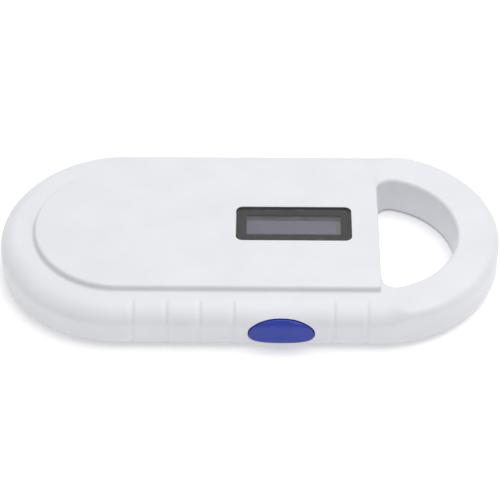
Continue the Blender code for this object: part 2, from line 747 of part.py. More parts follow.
def make_screws(head, steel):
    """Self-tapping screws: a shank under a round head with a cross-shaped drive left plain."""
    for number, (x, y) in enumerate(COVER_SCREWS, 1):
        bm = bmesh.new()
        rings = [
            (0.4 * MM, 1.3 * MM),
            (0.6 * MM, 1.75 * MM),
            (2.0 * MM, 1.85 * MM),
            (2.0 * MM, 1.1 * MM),
            (9.6 * MM, 1.1 * MM),
            (10.6 * MM, 0.4 * MM),
        ]
        add_loft(bm, [at_height(circle(x, y, radius, 14), z) for z, radius in rings])
        add_object(f"cover_screw_{number}", bm, head)
    for number, (x, y) in enumerate(BOARD_SCREWS, 1):
        bm = bmesh.new()
        low_z = BOARD_LOW_Z - 1.4 * MM
        rings = [
            (low_z, 1.1 * MM),
            (low_z + 0.3 * MM, 1.55 * MM),
            (BOARD_LOW_Z - 0.3 * MM, 1.6 * MM),
            (BOARD_LOW_Z - 0.3 * MM, 0.8 * MM),
            (CEILING - 0.8 * MM, 0.8 * MM),
        ]
        add_loft(bm, [at_height(circle(x, y, radius, 12), z) for z, radius in rings])
        add_object(f"board_screw_{number}", bm, steel)


# ---------------------------------------------------------------- display


def make_display(clear, dark, glass, foam, flex):
    bm = bmesh.new()
    lens_high = PANEL_TOP - LENS_SUNK
    outline = rounded_rectangle(LENS_CENTRE, LENS_SIZE, LENS_CORNER)
    add_prism(bm, outline, lens_high - LENS_THICK, lens_high)
    add_object("display_lens", bm, clear)

    bm = bmesh.new()
    outer = rounded_rectangle(LENS_CENTRE, LENS_SIZE, LENS_CORNER)
    inner = rounded_rectangle(WINDOW_CENTRE, WINDOW_SIZE, WINDOW_CORNER)
    add_tube(bm, outer, inner, MASK_LOW_Z, MASK_LOW_Z + MASK_THICK)
    add_object("lens_mask", bm, dark)

    bm = bmesh.new()
    half = GLASS_SIZE / 2
    low = WINDOW_CENTRE - half
    high = WINDOW_CENTRE + half
    add_box(bm, (low.x, low.y, GLASS_LOW_Z), (high.x, high.y, GLASS_LOW_Z + GLASS_THICK))
    add_object("display_panel", bm, glass)

    bm = bmesh.new()
    low = WINDOW_CENTRE - FOAM_HALF_SIZE
    high = WINDOW_CENTRE + FOAM_HALF_SIZE
    add_box(bm, (low.x, low.y, BOARD_HIGH_Z + PAD_GAP), (high.x, high.y, GLASS_LOW_Z - PAD_GAP))
    add_object("display_foam", bm, foam)
    make_flex(flex)


def make_flex(look):
    """A thin ribbon that leaves the glass, turns over and comes back onto the board."""
    start_x = WINDOW_CENTRE.x + FLEX_START
    turn_x = start_x + FLEX_STRAIGHT
    high_z = GLASS_LOW_Z - PAD_GAP
    low_z = BOARD_HIGH_Z + PAD_GAP
    radius = (high_z - low_z) / 2
    steps = 8
    middle_z = (high_z + low_z) / 2
    outer = [(start_x, high_z)]
    inner = [(start_x, high_z - FLEX_THICK)]
    for i in range(steps + 1):
        angle = math.pi / 2 - math.pi * i / steps
        for path, reach in ((outer, radius), (inner, radius - FLEX_THICK)):
            path.append((turn_x + reach * math.cos(angle), middle_z + reach * math.sin(angle)))
    outer.append((start_x, low_z))
    inner.append((start_x, low_z + FLEX_THICK))
    bm = bmesh.new()
    low_y = WINDOW_CENTRE.y - FLEX_HALF_WIDTH
    high_y = WINDOW_CENTRE.y + FLEX_HALF_WIDTH
    add_prism_along_y(bm, outer + inner[::-1], low_y, high_y)
    add_object("display_flex", bm, look)


# ---------------------------------------------------------------- board and its parts


def make_board(look):
    bm = bmesh.new()
    centre = Vector(((BOARD_LOW_X + BOARD_HIGH_X) / 2, 0))
    size = Vector((BOARD_HIGH_X - BOARD_LOW_X, 2 * BOARD_HALF_WIDTH))
    add_prism(bm, rounded_rectangle(centre, size, BOARD_CORNER, 3), BOARD_LOW_Z, BOARD_HIGH_Z)
    board = add_object("main_board", bm, look)
    bm = bmesh.new()
    for x, y in BOARD_SCREWS:
        add_cylinder(bm, x, y, BOARD_HOLE_RADIUS, BOARD_LOW_Z - BEYOND, BOARD_HIGH_Z + BEYOND, 14)
    combine(board, tool("board_holes", bm), "DIFFERENCE")


def make_block(name, x, y, size, look, edge=0.2 * MM):
    """A component under the board: a block with its lower edges broken."""
    bm = bmesh.new()
    centre = Vector((x, y))
    full = Vector((size[0], size[1]))
    small = full - Vector((2 * edge, 2 * edge))
    low_z = PART_TOP_Z - size[2]
    rings = [
        at_height(rounded_rectangle(centre, small, edge, 1), low_z),
        at_height(rounded_rectangle(centre, full, edge, 1), low_z + edge),
        at_height(rounded_rectangle(centre, full, edge, 1), PART_TOP_Z),
    ]
    add_loft(bm, rings)
    add_object(name, bm, look)


def make_components(looks):
    chip = looks["chip"]
    make_block("controller_chip", 0, -10 * MM, (10 * MM, 10 * MM, 1.4 * MM), chip)
    make_block("reader_chip", 24 * MM, 8 * MM, (5 * MM, 6 * MM, 1.5 * MM), chip)
    make_block("charger_chip", 20 * MM, 25 * MM, (3 * MM, 3 * MM, 0.9 * MM), chip)
    make_block("voltage_regulator", 2 * MM, 10 * MM, (6.5 * MM, 3.5 * MM, 1.6 * MM), chip)
    make_block("crystal", 12 * MM, -12 * MM, (4.5 * MM, 10.5 * MM, 3.2 * MM), looks["can"], 0.6 * MM)
    make_block("power_inductor", 14 * MM, 16 * MM, (6 * MM, 6 * MM, 2.8 * MM), looks["ferrite"], 0.7 * MM)
    make_block("tuning_capacitor", 28 * MM, -8 * MM, (4 * MM, 7.2 * MM, 4.8 * MM), looks["film"], 0.4 * MM)
    make_block("supply_capacitor_1", 12 * MM, 4 * MM, (3.5 * MM, 2.8 * MM, 1.9 * MM), looks["tantalum"])
    make_block("supply_capacitor_2", 20 * MM, -22 * MM, (3.5 * MM, 2.8 * MM, 1.9 * MM), looks["tantalum"])


def make_buzzer(look):
    bm = bmesh.new()
    low_z = PART_TOP_Z - BUZZER_HEIGHT
    segments = 28
    levels = (
        (PART_TOP_Z, BUZZER_RADIUS),
        (low_z + BUZZER_EDGE, BUZZER_RADIUS),
        (low_z, BUZZER_RADIUS - BUZZER_EDGE),
        (low_z, BUZZER_MOUTH_RADIUS),
        (low_z + BUZZER_MOUTH_DEPTH, BUZZER_MOUTH_RADIUS),
    )
    add_loft(bm, [at_height(circle(BUZZER_X, BUZZER_Y, radius, segments), z) for z, radius in levels])
    add_object("buzzer", bm, look)


def usb_outline(inset):
    """The socket's mouth, as (x, z): a flat rectangle with its two lower corners cut."""
    half = USB_WIDTH / 2 - inset
    low = USB_Z - USB_HEIGHT / 2 + inset
    high = USB_Z + USB_HEIGHT / 2 - inset
    cut = USB_CORNER_CUT
    points = [
        (-half + cut, low),
        (half - cut, low),
        (half, low + cut),
        (half, high),
        (-half, high),
        (-half, low + cut),
    ]
    return [(USB_X + x, z) for x, z in points]


def make_usb(steel, dark):
    outer = usb_outline(0)
    inner = usb_outline(USB_WALL)
    bm = bmesh.new()
    rings = [(USB_BACK_Y, outer), (USB_MOUTH_Y, outer), (USB_MOUTH_Y, inner), (USB_FLOOR_Y, inner)]
    add_loft(bm, [[(x, y, z) for x, z in outline] for y, outline in rings])
    add_object("usb_shell", bm, steel)
    bm = bmesh.new()
    add_box(
        bm,
        (USB_X - USB_TONGUE_HALF_WIDTH, USB_FLOOR_Y + 0.15 * MM, USB_TONGUE_LOW_Z),
        (USB_X + USB_TONGUE_HALF_WIDTH, USB_MOUTH_Y - 0.8 * MM, USB_TONGUE_LOW_Z + USB_TONGUE_THICK),
    )
    add_object("usb_tongue", bm, dark)


# ---------------------------------------------------------------- button and switch


def button_face_ring(share, segments):
    """A ring on the button's outer face: share runs from 0 in the middle to 1 at the rim."""
    proud = BUTTON_EDGE_PROUD + (BUTTON_PROUD - BUTTON_EDGE_PROUD) * (1 - share**4)
    return [(x, side_inset(z) - END_RADIUS - proud, z) for x, z in button_outline(share, 0, segments)]


def make_button(look):
    """The cap follows the side's curve. Behind it, a flange keeps it in and a stem meets the switch."""
    bm = bmesh.new()
    rings = [button_face_ring(share, 40) for share in (0.25, 0.5, 0.72, 0.88, 1)]
    rings.append([(x, BUTTON_INNER_Y, z) for x, _, z in rings[-1]])
    add_loft(bm, rings)
    origin = (BUTTON_X, -END_RADIUS, STEM_Z)
    button = add_object("side_button", bm, look, origin)
    bm = bmesh.new()
    add_box(
        bm,
        (BUTTON_X - FLANGE_HALF_WIDTH, FLANGE_LOW_Y, FLANGE_LOW_Z),
        (BUTTON_X + FLANGE_HALF_WIDTH, FLANGE_HIGH_Y, FLANGE_HIGH_Z),
    )
    combine(button, tool("button_flange", bm), "UNION")
    bm = bmesh.new()
    stem = circle(BUTTON_X, STEM_Z, STEM_RADIUS, 16)
    add_prism_along_y(bm, stem, FLANGE_HIGH_Y - FLANGE_THICK / 2, STEM_TIP_Y)
    combine(button, tool("button_stem", bm), "UNION")


def make_switch(dark, steel, nylon):
    bm = bmesh.new()
    half = SWITCH_HALF_WIDTH
    add_box(bm, (BUTTON_X - half, SWITCH_FRONT_Y, SWITCH_LOW_Z), (BUTTON_X + half, SWITCH_BACK_Y, PART_TOP_Z))
    body = add_object("switch_body", bm, dark)
    bm = bmesh.new()
    half = PLUNGER_HALF_WIDTH + POCKET_MARGIN
    half_height = PLUNGER_HALF_HEIGHT + POCKET_MARGIN
    add_box(
        bm,
        (BUTTON_X - half, SWITCH_FRONT_Y - BEYOND, STEM_Z - half_height),
        (BUTTON_X + half, SWITCH_FRONT_Y + POCKET_DEPTH, STEM_Z + half_height),
    )
    combine(body, tool("switch_pocket", bm), "DIFFERENCE")

    bm = bmesh.new()
    tip_y = STEM_TIP_Y + PLUNGER_GAP
    add_box(
        bm,
        (BUTTON_X - PLUNGER_HALF_WIDTH, tip_y, STEM_Z - PLUNGER_HALF_HEIGHT),
        (BUTTON_X + PLUNGER_HALF_WIDTH, tip_y + PLUNGER_LENGTH, STEM_Z + PLUNGER_HALF_HEIGHT),
    )
    add_object("switch_plunger", bm, nylon, (BUTTON_X, tip_y, STEM_Z))
    make_switch_frame(steel)


def make_switch_frame(look):
    """A sheet bent round the switch's two ends and its underside."""
    inner_x = SWITCH_HALF_WIDTH + FRAME_GAP
    outer_x = inner_x + FRAME_SHEET
    inner_z = SWITCH_LOW_Z - FRAME_GAP
    outer_z = inner_z - FRAME_SHEET
    sides = [
        (-outer_x, PART_TOP_Z),
        (-outer_x, outer_z),
        (outer_x, outer_z),
        (outer_x, PART_TOP_Z),
        (inner_x, PART_TOP_Z),
        (inner_x, inner_z),
        (-inner_x, inner_z),
        (-inner_x, PART_TOP_Z),
    ]
    outline = [(BUTTON_X + x, z) for x, z in sides]
    bm = bmesh.new()
    add_prism_along_y(bm, outline, SWITCH_FRONT_Y + POCKET_MARGIN, SWITCH_BACK_Y - POCKET_MARGIN)
    add_object("switch_frame", bm, look)


# ---------------------------------------------------------------- antenna and battery


def smooth_route(points, steps=5):
    """Points along a Catmull-Rom curve through the given ones."""
    route = [Vector(point) for point in points]
    ends = [2 * route[0] - route[1], *route, 2 * route[-1] - route[-2]]
    found = []
    for a, b, c, d in zip(ends, ends[1:], ends[2:], ends[3:]):
        for i in range(steps):
            t = i / steps
            straight = 2 * b + (c - a) * t
            square = (2 * a - 5 * b + 4 * c - d) * t**2
            cube = (3 * b - a - 3 * c + d) * t**3
            found.append(0.5 * (straight + square + cube))
    return [*found, route[-1]]


def make_wire(name, points, radius, look):
    route = smooth_route(points)
    data = bpy.data.curves.new(name, "CURVE")
    data.dimensions = "3D"
    data.bevel_depth = radius
    data.bevel_resolution = 2
    data.use_fill_caps = True
    spline = data.splines.new("POLY")
    spline.points.add(len(route) - 1)
    for point, place in zip(spline.points, route):
        point.co = (*place, 1)
    data.materials.append(look)
    bpy.context.scene.collection.objects.link(bpy.data.objects.new(name, data))


def make_antenna(winding, lead):
    stations = hole_stations(24, 6)
    outer = grown(stations, COIL_MIDDLE + COIL_WIDTH / 2)
    inner = grown(stations, COIL_MIDDLE - COIL_WIDTH / 2)
    bm = bmesh.new()
    add_tube(bm, outer, inner, COIL_LOW_Z, COIL_LOW_Z + COIL_HEIGHT)
    bmesh.ops.bevel(
        bm,
        geom=[edge for edge in bm.edges if abs(edge.verts[0].co.z - edge.verts[1].co.z) < 1e-7],
        offset=0.5 * MM,
        segments=1,
        affect="EDGES",
    )
    add_object("antenna_coil", bm, winding)
    coil_x = HOLE_FLAT_X - COIL_MIDDLE
    coil_top = COIL_LOW_Z + COIL_HEIGHT
    for number, y in enumerate((-3 * MM, 3 * MM), 1):
        route = [
            (coil_x, y, coil_top + 0.35 * MM),
            (coil_x - 0.6 * MM, y, coil_top + 1.5 * MM),
            (coil_x - 2.4 * MM, y * 0.95, coil_top + 2.1 * MM),
            (coil_x - 3.8 * MM, y * 0.9, BOARD_HIGH_Z + 0.7 * MM),
            (coil_x - 5.2 * MM, y * 0.9, BOARD_HIGH_Z + 0.6 * MM),
        ]
        make_wire(f"antenna_lead_{number}", route, 0.35 * MM, lead)


def make_battery(looks):
    bm = bmesh.new()
    centre = Vector(((CELL_LOW_X + CELL_HIGH_X) / 2, 0))
    size = Vector((CELL_HIGH_X - CELL_LOW_X, 2 * CELL_HALF_WIDTH))
    small = size - Vector((2 * CELL_EDGE, 2 * CELL_EDGE)) * 0.6
    high_z = CELL_LOW_Z + CELL_THICK
    levels = (
        (CELL_LOW_Z, small),
        (CELL_LOW_Z + CELL_EDGE, size),
        (high_z - CELL_EDGE, size),
        (high_z, small),
    )
    add_loft(bm, [at_height(rounded_rectangle(centre, extent, CELL_EDGE, 3), z) for z, extent in levels])
    add_object("battery_cell", bm, looks["pouch"])

    pads = (
        ("battery_pad_lower", FLOOR + PAD_GAP, CELL_LOW_Z - PAD_GAP),
        ("battery_pad_upper", high_z + PAD_GAP, CEILING - PAD_GAP),
    )
    for name, low, high in pads:
        bm = bmesh.new()
        add_box(bm, (CELL_LOW_X + 6 * MM, -12 * MM, low), (CELL_HIGH_X - 6 * MM, 12 * MM, high))
        add_object(name, bm, looks["foam"])

    bm = bmesh.new()
    board_x = CELL_HIGH_X + 0.3 * MM
    add_box(bm, (board_x, -13 * MM, 4.2 * MM), (board_x + 1 * MM, 13 * MM, 8.4 * MM))
    add_object("battery_circuit", bm, looks["board"])
    make_battery_connector(looks, board_x + 1 * MM)


def make_battery_connector(looks, lead_x):
    mouth_x = -14 * MM
    half = 2.8 * MM
    low_z = 4.5 * MM
    middle_z = 6.2 * MM
    bm = bmesh.new()
    add_box(bm, (mouth_x, -half, low_z), (mouth_x + 4.6 * MM, half, PART_TOP_Z))
    header = add_object("battery_header", bm, looks["nylon"])
    bm = bmesh.new()
    add_box(
        bm,
        (mouth_x - BEYOND, -2.3 * MM, middle_z - 1.2 * MM),
        (mouth_x + 3.6 * MM, 2.3 * MM, middle_z + 1.2 * MM),
    )
    combine(header, tool("header_pocket", bm), "DIFFERENCE")
    bm = bmesh.new()
    add_box(
        bm,
        (mouth_x - 1.2 * MM, -2.15 * MM, middle_z - 1.05 * MM),
        (mouth_x + 3.3 * MM, 2.15 * MM, middle_z + 1.05 * MM),
    )
    add_object("battery_plug", bm, looks["nylon"])
    plug_x = mouth_x - 1.2 * MM
    # Each lead goes out, turns along the cell's end at its own distance, and turns into the plug.
    leads = (("red", 1 * MM, 9 * MM, 3.2 * MM), ("black", -1 * MM, 7 * MM, 1.6 * MM))
    for name, end_y, start_y, run in leads:
        run_x = lead_x + run
        route = [
            (lead_x + 0.35 * MM, start_y, 6.4 * MM),
            (run_x - 0.5 * MM, start_y - 0.4 * MM, 6.5 * MM),
            (run_x, start_y - 1.8 * MM, 6.8 * MM),
            (run_x, end_y + 2 * MM, 6.6 * MM),
            (run_x + 0.6 * MM, end_y + 0.3 * MM, 6.3 * MM),
            (plug_x - 0.4 * MM, end_y, middle_z),
        ]
        make_wire(f"battery_lead_{name}", route, 0.55 * MM, looks[name])


def make_label(look):
    bm = bmesh.new()
    centre = (LABEL_LOW + LABEL_HIGH) / 2
    high_z = LABEL_RECESS - 0.1 * MM
    outline = rounded_rectangle(centre, LABEL_HIGH - LABEL_LOW, LABEL_CORNER, 3)
    add_prism(bm, outline, high_z - LABEL_THICK, high_z)
    add_object("rear_label", bm, look)


# ---------------------------------------------------------------- the whole scanner


def make_looks():
    return {
        "shell": material("white_plastic", (0.82, 0.83, 0.86), 0.42),
        "rear": material("white_plastic_rear", (0.80, 0.81, 0.84), 0.45),
        "button": material("blue_plastic", (0.03, 0.05, 0.36), 0.4),
        "clear": material("lens_acrylic", (0.9, 0.92, 0.95), 0.08, alpha=0.35),
        "dark": material("printed_border", (0.05, 0.05, 0.06), 0.5),
        "glass": material("display_glass", (0.16, 0.16, 0.2), 0.15),
        "foam": material("grey_foam", (0.12, 0.12, 0.12), 0.95),
        "flex": material("flex_film", (0.45, 0.22, 0.03), 0.4),
        "board": material("board_laminate", (0.02, 0.16, 0.06), 0.45),
        "chip": material("chip_resin", (0.03, 0.03, 0.03), 0.6),
        "can": material("crystal_can", (0.7, 0.7, 0.72), 0.3, 1.0),
        "ferrite": material("ferrite", (0.1, 0.1, 0.11), 0.7),
        "film": material("film_capacitor_case", (0.55, 0.08, 0.05), 0.5),
        "tantalum": material("tantalum_case", (0.75, 0.5, 0.08), 0.5),
        "buzzer": material("buzzer_case", (0.02, 0.02, 0.02), 0.55),
        "steel": material("plated_steel", (0.6, 0.6, 0.62), 0.3, 1.0),
        "screw": material("black_screw_steel", (0.08, 0.08, 0.09), 0.4, 1.0),
        "nylon": material("natural_nylon", (0.8, 0.78, 0.7), 0.5),
        "switch": material("switch_resin", (0.02, 0.02, 0.02), 0.5),
        "copper": material("enamelled_copper", (0.5, 0.16, 0.04), 0.3, 1.0),
        "lead": material("lead_enamel", (0.45, 0.13, 0.03), 0.35),
        "pouch": material("pouch_foil", (0.6, 0.62, 0.64), 0.35, 0.8),
        "red": material("red_insulation", (0.5, 0.01, 0.01), 0.5),
        "black": material("black_insulation", (0.01, 0.01, 0.01), 0.5),
        "label": material("blank_label", (0.7, 0.71, 0.72), 0.5),
    }


def main():
    for old in list(bpy.data.objects):
        bpy.data.objects.remove(old, do_unlink=True)
    looks = make_looks()
    make_front_cover(looks["shell"])
    make_rear_cover(looks["rear"])
    make_screws(looks["screw"], looks["steel"])
    make_display(looks["clear"], looks["dark"], looks["glass"], looks["foam"], looks["flex"])
    make_board(looks["board"])
    make_components(looks)
    make_buzzer(looks["buzzer"])
    make_usb(looks["steel"], looks["switch"])
    make_button(looks["button"])
    make_switch(looks["switch"], looks["steel"], looks["nylon"])
    make_antenna(looks["copper"], looks["lead"])
    make_battery(looks)
    make_label(looks["label"])


main()
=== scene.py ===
"""Looks of a hand-held animal microchip scanner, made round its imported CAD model.

The covers, the button, the display, the cover screws, the socket and the label are modelled again as fine
meshes in the places of their CAD nodes. The other parts keep their CAD shapes and get their own materials.
"""

import json
import math

import bmesh
import bpy
import numpy as np
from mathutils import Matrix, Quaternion, Vector


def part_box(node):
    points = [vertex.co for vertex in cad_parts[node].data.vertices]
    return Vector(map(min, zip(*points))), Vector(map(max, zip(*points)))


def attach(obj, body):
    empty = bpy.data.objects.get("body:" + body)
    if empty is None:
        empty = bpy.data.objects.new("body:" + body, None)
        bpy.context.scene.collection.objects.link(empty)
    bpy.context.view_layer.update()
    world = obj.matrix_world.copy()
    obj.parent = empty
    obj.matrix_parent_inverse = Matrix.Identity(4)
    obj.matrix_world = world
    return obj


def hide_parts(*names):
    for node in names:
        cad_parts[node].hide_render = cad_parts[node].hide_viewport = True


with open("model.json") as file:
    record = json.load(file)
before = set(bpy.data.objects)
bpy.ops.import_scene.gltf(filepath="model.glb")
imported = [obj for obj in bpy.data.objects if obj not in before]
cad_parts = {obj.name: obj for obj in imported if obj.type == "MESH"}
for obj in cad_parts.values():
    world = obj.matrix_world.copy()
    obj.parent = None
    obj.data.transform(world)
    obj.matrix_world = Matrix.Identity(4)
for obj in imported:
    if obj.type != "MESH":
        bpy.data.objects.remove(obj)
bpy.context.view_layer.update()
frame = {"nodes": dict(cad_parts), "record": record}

MM = 0.001
QUARTER = math.pi / 2

# Body, from the CAD box of the front cover
COVER_LOW, COVER_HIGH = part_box("front_cover")
END_RADIUS = (COVER_HIGH.y - COVER_LOW.y) / 2
END_X = COVER_HIGH.x - END_RADIUS
PANEL_TOP = COVER_HIGH.z
SEAM_HIGH = COVER_LOW.z
SEAM_LOW = 0.8 * MM
PANEL_RISE = 1.9 * MM
BODY_HEIGHT = PANEL_TOP - PANEL_RISE
TOP_FILLET = 5 * MM  # round the grip
SHOULDER_WIDTH = 8 * MM  # how wide that edge is on the button's side, at the same height
RING_TOP_FILLET = 2.4 * MM  # round the ring
RING_TIP_FILLET = 1.8 * MM  # what the ring's top edge gains towards its tip, on the button's side
RING_FILLET_FROM_X = 40 * MM  # where the top edge starts to change from the grip's size to the ring's
RING_FILLET_FULL_X = 54 * MM  # where that change ends
NEAR_CHANGE_LATER = 2 * MM  # on the button's side it starts this much later
NEAR_CHANGE_SOONER = 4 * MM  # and ends this much sooner
NEAR_FACING = 0.8  # a wall whose normal points this far to -Y counts fully as the button's side
RING_TIP_FROM_X = RING_FILLET_FULL_X - 2 * MM  # where the ring's top edge starts to gain
INNER_EDGE_LEAST = 0.5 * MM  # smallest radius of the cavity's top edge
BASE_FILLET = 4 * MM
WALL = 2 * MM
FLOOR_Z = 1.8 * MM
TONGUE_OUT = 2.3 * MM
TONGUE_IN = 3.5 * MM
TONGUE_TOP = 2.6 * MM
EDGE_BREAK = 0.08 * MM

# Hole of the ring
HOLE_RADIUS = 25.6 * MM
HOLE_FLAT_X = 40.9 * MM
HOLE_CORNER = 4.6 * MM
HOLE_LIP = 1.3 * MM
HOLE_LIP_FROM_X = HOLE_FLAT_X + 0.2 * MM
HOLE_FLARE = 0.6  # how much wider the top lip opens in the hole's corners
FLARED_LIP_FULL_X = HOLE_FLAT_X + 1.8 * MM
FLARE_FADE_FROM_X = HOLE_FLAT_X + 4 * MM
FLARE_FADE_END_X = HOLE_FLAT_X + 9 * MM
HOLE_BASE_LIP = 0.6 * MM

# Raised panel
PANEL_RADIUS = 28 * MM
PANEL_RIGHT_X = 40.7 * MM
PANEL_CORNER = 1 * MM
PANEL_EDGE = 0.95 * MM  # radius of its top edge, and of the fillet at its foot
PANEL_RIGHT_EDGE = 0.4 * MM  # radius of its top edge beside the hole
PANEL_ROOT = 0.8 * MM  # how far it reaches down into the cover
PANEL_FOOT_START = math.radians(8)  # where the fillet leaves the top's flat

# Grip grooves
GROOVE_PITCH = 10.25 * MM
GROOVE_WIDTH = 2.5 * MM
GROOVE_DEPTH = 0.35 * MM
LEFT_GROOVES = 4
RIGHT_GROOVES = 2
GROOVE_FADE_FROM = 0.72  # share of the top edge's turn after which the grooves run out
GROOVES_MIDDLE_X = 10.6 * MM
GROOVE_CENTRES = [GROOVES_MIDDLE_X - GROOVE_PITCH * (1.5 + i) for i in range(LEFT_GROOVES)]
GROOVE_CENTRES += [GROOVES_MIDDLE_X + GROOVE_PITCH * (1.5 + i) for i in range(RIGHT_GROOVES)]

# Button
BUTTON_X = 10.1 * MM
BUTTON_Z = 6.2 * MM
BUTTON_HALF_WIDTH = 9.95 * MM
BUTTON_RISE = 5.0 * MM
BUTTON_DROP = 4.1 * MM
BUTTON_FULLNESS = 2.3  # an ellipse has 2, and a fuller oval has more
BUTTON_PROUD = 0.545 * MM  # just less than the CAD's 0.55, so that the finer mesh stays inside the CAD box
BUTTON_EDGE_PROUD = 0.3 * MM
BUTTON_GAP = 0.3 * MM

# Display
LENS_CORNER = 2.0 * MM
LENS_GAP = 0.15 * MM
FILM_RIGHT_X = 27.3 * MM  # the film stops short of the glass's right and far edges
FILM_FAR_Y = 3.85 * MM
# gap between the film and the strip of painted shade beyond it
SHADE_BAND_GAP = 0.05 * MM

COVER_SCREWS = 6

SHARP_ANGLE = math.radians(32)
BEYOND = 3 * MM  # how far a cutter runs past what it cuts
LIP_FLARE = 1.5  # past the surface, a cutter is this many lips wider than its hole


# ---------------------------------------------------------------- meshes


def mesh_object(name, points, faces):
    mesh = bpy.data.meshes.new(name)
    mesh.from_pydata([tuple(point) for point in points], [], [tuple(face) for face in faces])
    made = bpy.data.objects.new(name, mesh)
    bpy.context.scene.collection.objects.link(made)
    return made


def loft(name, rings, closed=False):
    """Skins closed rings of equal length and caps them. A closed loft joins its two ends instead."""
    count = len(rings[0])
    here = np.arange(count)
    following = np.roll(here, -1)
    faces = []
    pairs = [(i, i + 1) for i in range(len(rings) - 1)]
    if closed:
        pairs.append((len(rings) - 1, 0))
    for low, high in pairs:
        a = low * count
        b = high * count
        faces += np.stack([a + here, a + following, b + following, b + here], axis=1).tolist()
    if not closed:
        faces.append(here[::-1].tolist())
        faces.append((here + (len(rings) - 1) * count).tolist())
    return mesh_object(name, np.concatenate(rings), faces)


def face_out(thing):
    """Turns all faces outwards."""
    bm = bmesh.new()
    bm.from_mesh(thing.data)
    bmesh.ops.recalc_face_normals(bm, faces=bm.faces)
    bm.to_mesh(thing.data)
    bm.free()
    return thing


def combine(target, other, operation="DIFFERENCE"):
    """Cuts other from target, or joins it on, and removes other."""
    face_out(target)
    face_out(other)
    change = target.modifiers.new("shape", "BOOLEAN")
    change.operation = operation
    change.solver = "EXACT"
    change.object = other
    settle(target)
    bpy.data.objects.remove(other, do_unlink=True)


def settle(target):
    """Applies the modifiers."""
    graph = bpy.context.evaluated_depsgraph_get()
    made = bpy.data.meshes.new_from_object(target.evaluated_get(graph))
    target.modifiers.clear()
    target.data = made


def smooth(target):
    target.data.shade_smooth()
    target.data.set_sharp_from_angle(angle=SHARP_ANGLE)
    weights = target.modifiers.new("even_shading", "WEIGHTED_NORMAL")
    weights.keep_sharp = True
    weights.weight = 80


def join(name, things):
    """Makes one object of several, keeping each one's material."""
    points = []
    faces = []
    looks = []
    slots = []
    for thing in things:
        offset = len(points)
        points += [thing.matrix_world @ vertex.co for vertex in thing.data.vertices]
        look = thing.data.materials[0]
        if look not in looks:
            looks.append(look)
        for polygon in thing.data.polygons:
            faces.append([offset + index for index in polygon.vertices])
            slots.append(looks.index(look))
    made = mesh_object(name, points, faces)
    for look in looks:
        made.data.materials.append(look)
    made.data.polygons.foreach_set("material_index", slots)
    for thing in things:
        bpy.data.objects.remove(thing, do_unlink=True)
    return made


def place(thing, look, slot, *nodes, body="housing"):
    """Gives a piece its material and its body, and hides the CAD nodes that it stands for."""
    face_out(thing)
    if look:
        thing.data.materials.append(look)
    smooth(thing)
    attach(thing, body)
    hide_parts(*nodes)
    return thing


def arc(x, y, radius, start, end, segments):
    """Rows of (x, y, normal x, normal y) along an arc, ends included."""
    angles = np.linspace(start, end, segments + 1)
    normals = np.stack([np.cos(angles), np.sin(angles)], axis=1)
    return np.hstack([np.array([x, y]) + radius * normals, normals])


def grown(stations, distance):
    return stations[:, :2] + stations[:, 2:] * distance


def level(outline, z):
    """The outline at one height, or at a height for each point."""
    return np.column_stack([outline, np.broadcast_to(z, len(outline))])


def upright(outline, y):
    """An outline of (x, z) at one y."""
    return np.column_stack([outline[:, 0], np.broadcast_to(y, len(outline)), outline[:, 1]])


def rounded_rectangle(low, high, corner, segments=10):
    """Stations round a rectangle between two corners (x, y)."""
    rows = []
    corners = ((high[0], low[1]), (high[0], high[1]), (low[0], high[1]), (low[0], low[1]))
    for i, (x, y) in enumerate(corners):
        start = QUARTER * (i - 1)
        inner_x = x + corner * (1 if x == low[0] else -1)
        inner_y = y + corner * (1 if y == low[1] else -1)
        rows.append(arc(inner_x, inner_y, corner, start, start + QUARTER, segments))
    return np.vstack(rows)


def smooth_step(values, low, high):
    t = np.clip((np.asarray(values) - low) / (high - low), 0, 1)
    return t * t * (3 - 2 * t)


# ---------------------------------------------------------------- outlines of the body


def long_side_xs():
    """Stations along a long side, close together across each groove."""
    half = GROOVE_WIDTH / 2
    across = [np.linspace(centre - half, centre + half, 17) for centre in GROOVE_CENTRES]
    plain = np.linspace(-END_X, END_X, 61)
    away = np.min(np.abs(plain[:, None] - np.array(GROOVE_CENTRES)), axis=1)
    return np.sort(np.concatenate([plain[away > 0.6 * GROOVE_WIDTH], *across]))


def body_stations(end_segments=110):
    xs = long_side_xs()
    side = np.ones_like(xs)
    near = np.column_stack([xs, -END_RADIUS * side, 0 * side, -side])
    far = np.column_stack([xs[::-1], END_RADIUS * side, 0 * side, side])
    right_end = arc(END_X, 0, END_RADIUS, -QUARTER, QUARTER, end_segments)
    left_end = arc(-END_X, 0, END_RADIUS, QUARTER, 3 * QUARTER, end_segments)
    return np.vstack([near, right_end[1:-1], far, left_end[1:-1]])


def plain_stations(end_segments=60):
    right_end = arc(END_X, 0, END_RADIUS, -QUARTER, QUARTER, end_segments)
    left_end = arc(-END_X, 0, END_RADIUS, QUARTER, 3 * QUARTER, end_segments)
    return np.vstack([right_end, left_end])


def hole_stations(arc_segments=90, corner_segments=16):
    corner_x = HOLE_FLAT_X + HOLE_CORNER
    reach = HOLE_RADIUS - HOLE_CORNER
    corner_y = math.sqrt(reach**2 - (corner_x - END_X) ** 2)
    meet = math.atan2(corner_y, corner_x - END_X)
    near = arc(corner_x, -corner_y, HOLE_CORNER, -math.pi, -meet, corner_segments)
    round_side = arc(END_X, 0, HOLE_RADIUS, -meet, meet, arc_segments)
    far = arc(corner_x, corner_y, HOLE_CORNER, meet, math.pi, corner_segments)
    return np.vstack([near, round_side[1:-1], far])


